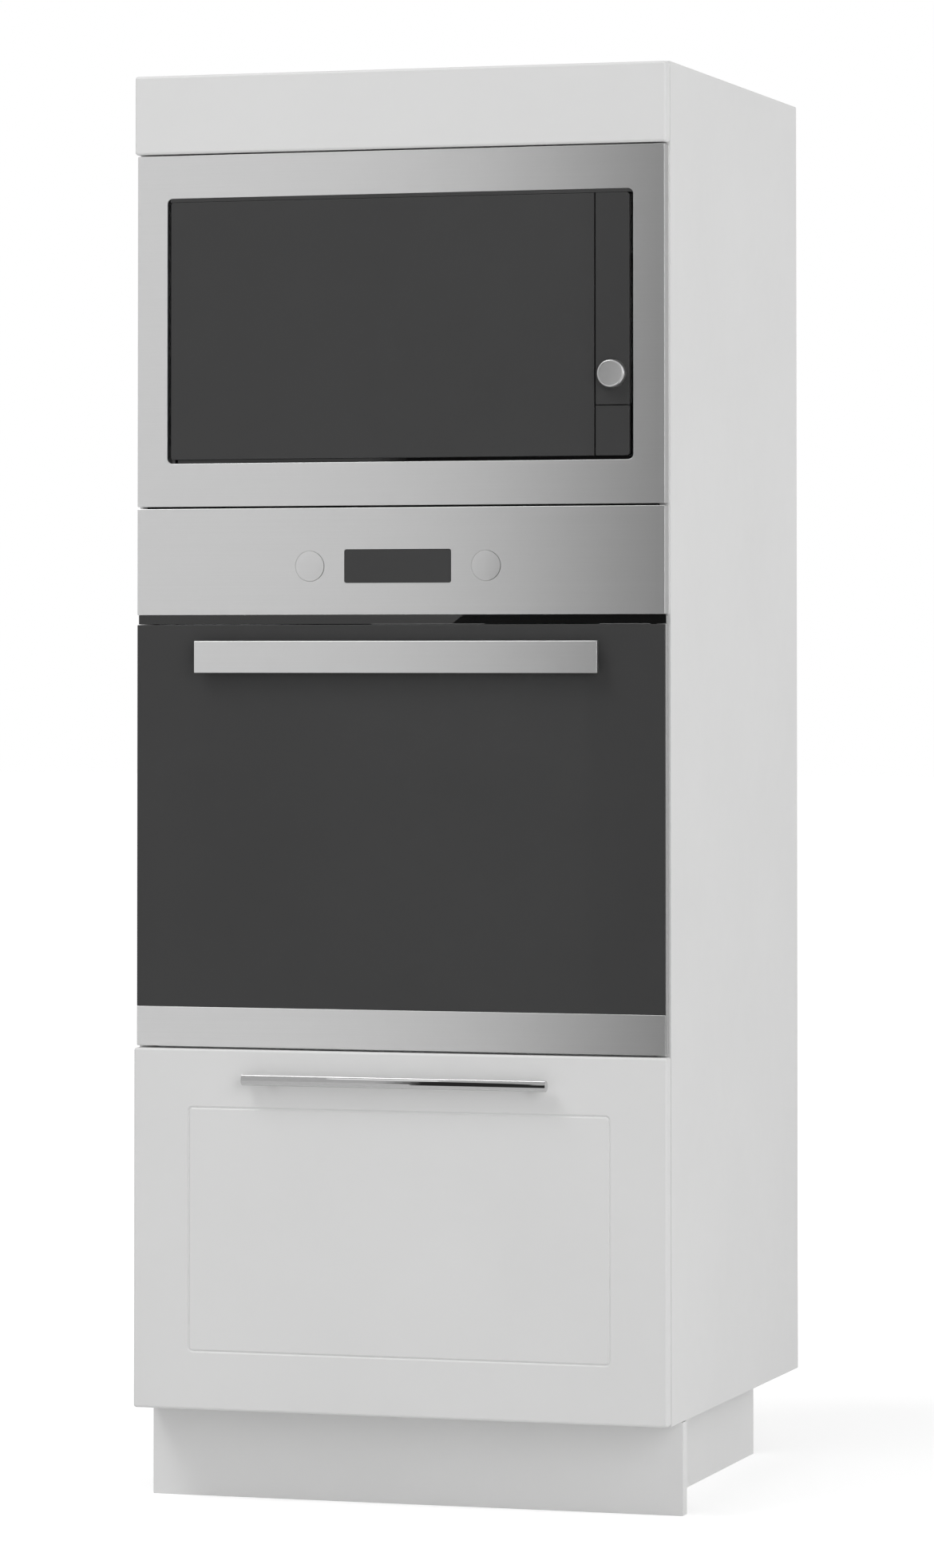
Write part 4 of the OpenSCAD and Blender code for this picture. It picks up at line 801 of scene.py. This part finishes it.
def card(name, corners, level, polished_only):
    obj = plane(name, corners, studio_material(name, card_nodes(level, polished_only)))
    for ray in ("visible_camera", "visible_diffuse", "visible_shadow", "visible_transmission",
                "visible_volume_scatter"):
        setattr(obj, ray, False)


def upright(x, y, z):
    return [(x[0], y, z[0]), (x[1], y, z[0]), (x[1], y, z[1]), (x[0], y, z[1])]


def sideways(x, y, z):
    return [(x, y[0], z[0]), (x, y[1], z[0]), (x, y[1], z[1]), (x, y[0], z[1])]


def level_with(x, y, z):
    return [(x[0], y[0], z), (x[1], y[0], z), (x[1], y[1], z), (x[0], y[1], z)]


plane("floor", level_with((-40, 40), (-40, 40), 0), studio_material("floor_paint", floor_nodes))

# The flags shade the satin steel: from FLAG_EDGE on towards the right, and beside the unit
FLAG_EDGE, FLAG_Y, FLAG_Z = -0.07, FRONT_Y - 1.0, (-0.6, 3.2)
card("flag", upright((FLAG_EDGE, 1.0), FLAG_Y, FLAG_Z), 0.02, False)
card("flag_foot", level_with((FLAG_EDGE, 1.0), (FLAG_Y, FRONT_Y - 0.1), 0.002), 0.3, False)
card("side_flag", sideways(1.4, (-0.2, 3.0), FLAG_Z), 0.5, False)

# What chrome and black gloss mirror: a grey room, a soft-edged dark wall to the right, a lamp overhead
ROOM, DARK, LAMP, ROOM_X, ROOM_TOP = 0.56, 0.03, 1.35, (-6, 6), 3.4
card("room_front", upright(ROOM_X, FRONT_Y - 2.6, (-0.1, ROOM_TOP)), ROOM, True)
card("room_top", level_with(ROOM_X, (-3.0, 3.0), ROOM_TOP), ROOM, True)
card("room_floor", level_with(ROOM_X, (-3.0, 3.0), 0.003), ROOM + 0.1, True)

WALL_Y, WALL_FOOT_X, WALL_STEPS = FRONT_Y - 2.2, -0.664, 5
WALL_OUTLINE = [(6.0, 0.0), (6.0, 1.9), (-0.50, 1.9), (-0.53, 1.3), (-0.587, 1.83), (-0.748, 2.5),
                (-0.918, 3.0), (-0.99, 3.05), (-0.871, 2.44), (-0.723, 1.49), (-0.674, 1.08),
                (WALL_FOOT_X, 0.0)]
for step in range(WALL_STEPS):
    outline = [(x - 0.014 * step if x < -0.6 else x, WALL_Y - 0.004 * step, z) for x, z in WALL_OUTLINE]
    card(f"dark_wall_{step}", outline, DARK + (ROOM - DARK) * step / WALL_STEPS, True)
card("dark_floor", [(WALL_FOOT_X, WALL_Y, 0.004), (6, WALL_Y, 0.004), (6, FRONT_Y - 0.75, 0.004),
                    (-0.12, FRONT_Y - 0.73, 0.004), (-0.235, FRONT_Y - 0.70, 0.004)], DARK, True)

STRIP_Y, STRIP_TOP = FRONT_Y - 0.35, 0.985
card("strip_card", [(-0.6, STRIP_Y, 0.93), (-0.06, STRIP_Y, 0.93), (-0.03, STRIP_Y, STRIP_TOP),
                    (-0.6, STRIP_Y, STRIP_TOP)], ROOM + 0.14, True)

LAMP_Y, LAMP_Z = (FRONT_Y - 1.72, FRONT_Y - 0.645), 3.0
card("top_lamp", [(-1.067, LAMP_Y[0], LAMP_Z), (-0.925, LAMP_Y[1], LAMP_Z), (-0.742, LAMP_Y[1], LAMP_Z),
                  (-0.884, LAMP_Y[0], LAMP_Z)], LAMP, True)

# The background: white to the camera and in gloss, dimmer as the light that falls on the unit
AMBIENT = 0.5
world = bpy.data.worlds.new("studio")
scene.world = world
world.use_nodes = True
nodes, links = world.node_tree.nodes, world.node_tree.links
nodes.clear()
back = nodes.new("ShaderNodeBackground")
back.inputs["Color"].default_value = (1, 1, 1, 1)
path = nodes.new("ShaderNodeLightPath")
seen = maths(nodes, links, "MAXIMUM", path.outputs["Is Camera Ray"], path.outputs["Is Glossy Ray"])
seen = maths(nodes, links, "MAXIMUM", seen, path.outputs["Is Transmission Ray"])
links.new(spread(nodes, links, seen, AMBIENT, 1.0, 0.0, 1.0), back.inputs["Strength"])
links.new(back.outputs[0], nodes.new("ShaderNodeOutputWorld").inputs["Surface"])


def area_light(name, place, target, size, watts, in_gloss):
    """A square lamp that points at a target."""
    lamp = bpy.data.lights.new(name, "AREA")
    lamp.shape = "RECTANGLE"
    lamp.size = lamp.size_y = size
    lamp.energy = watts
    obj = bpy.data.objects.new(name, lamp)
    scene.collection.objects.link(obj)
    obj.location = place
    obj.rotation_euler = (Vector(target) - Vector(place)).to_track_quat("-Z", "Y").to_euler()
    obj.visible_glossy = in_gloss


area_light("key", (-2.6, -3.0, 5.8), (0, 0, 0.8), 2.8, 140, True)
area_light("fill", (3.9, -4.3, 2.4), (0, 0, 0.8), 3.6, 98, True)
area_light("side", (5.0, 1.3, 1.9), (0, 0, 0.6), 2.6, 58, False)

# ---------------------------------------------------------------- camera

# A view that fits the photograph: the tilt above the level and the turn about the upright are in radians
CAMERA_AT, CAMERA_TILT, CAMERA_TURN = (1.95546, FRONT_Y - 6.15113, 0.91007), 0.0270, 0.3000
camera_data = bpy.data.cameras.new("camera")
camera = bpy.data.objects.new("camera", camera_data)
scene.collection.objects.link(camera)
scene.camera = camera
camera.location = CAMERA_AT
camera.rotation_euler = (math.pi / 2 + CAMERA_TILT, 0.0, CAMERA_TURN)
camera_data.sensor_fit = "AUTO"
camera_data.sensor_width = 36.0
camera_data.lens = 137.81
camera_data.shift_x = 0.0150
camera_data.shift_y = -0.1809
camera_data.clip_start, camera_data.clip_end = 0.05, 200.0

scene.view_settings.view_transform = "Standard"
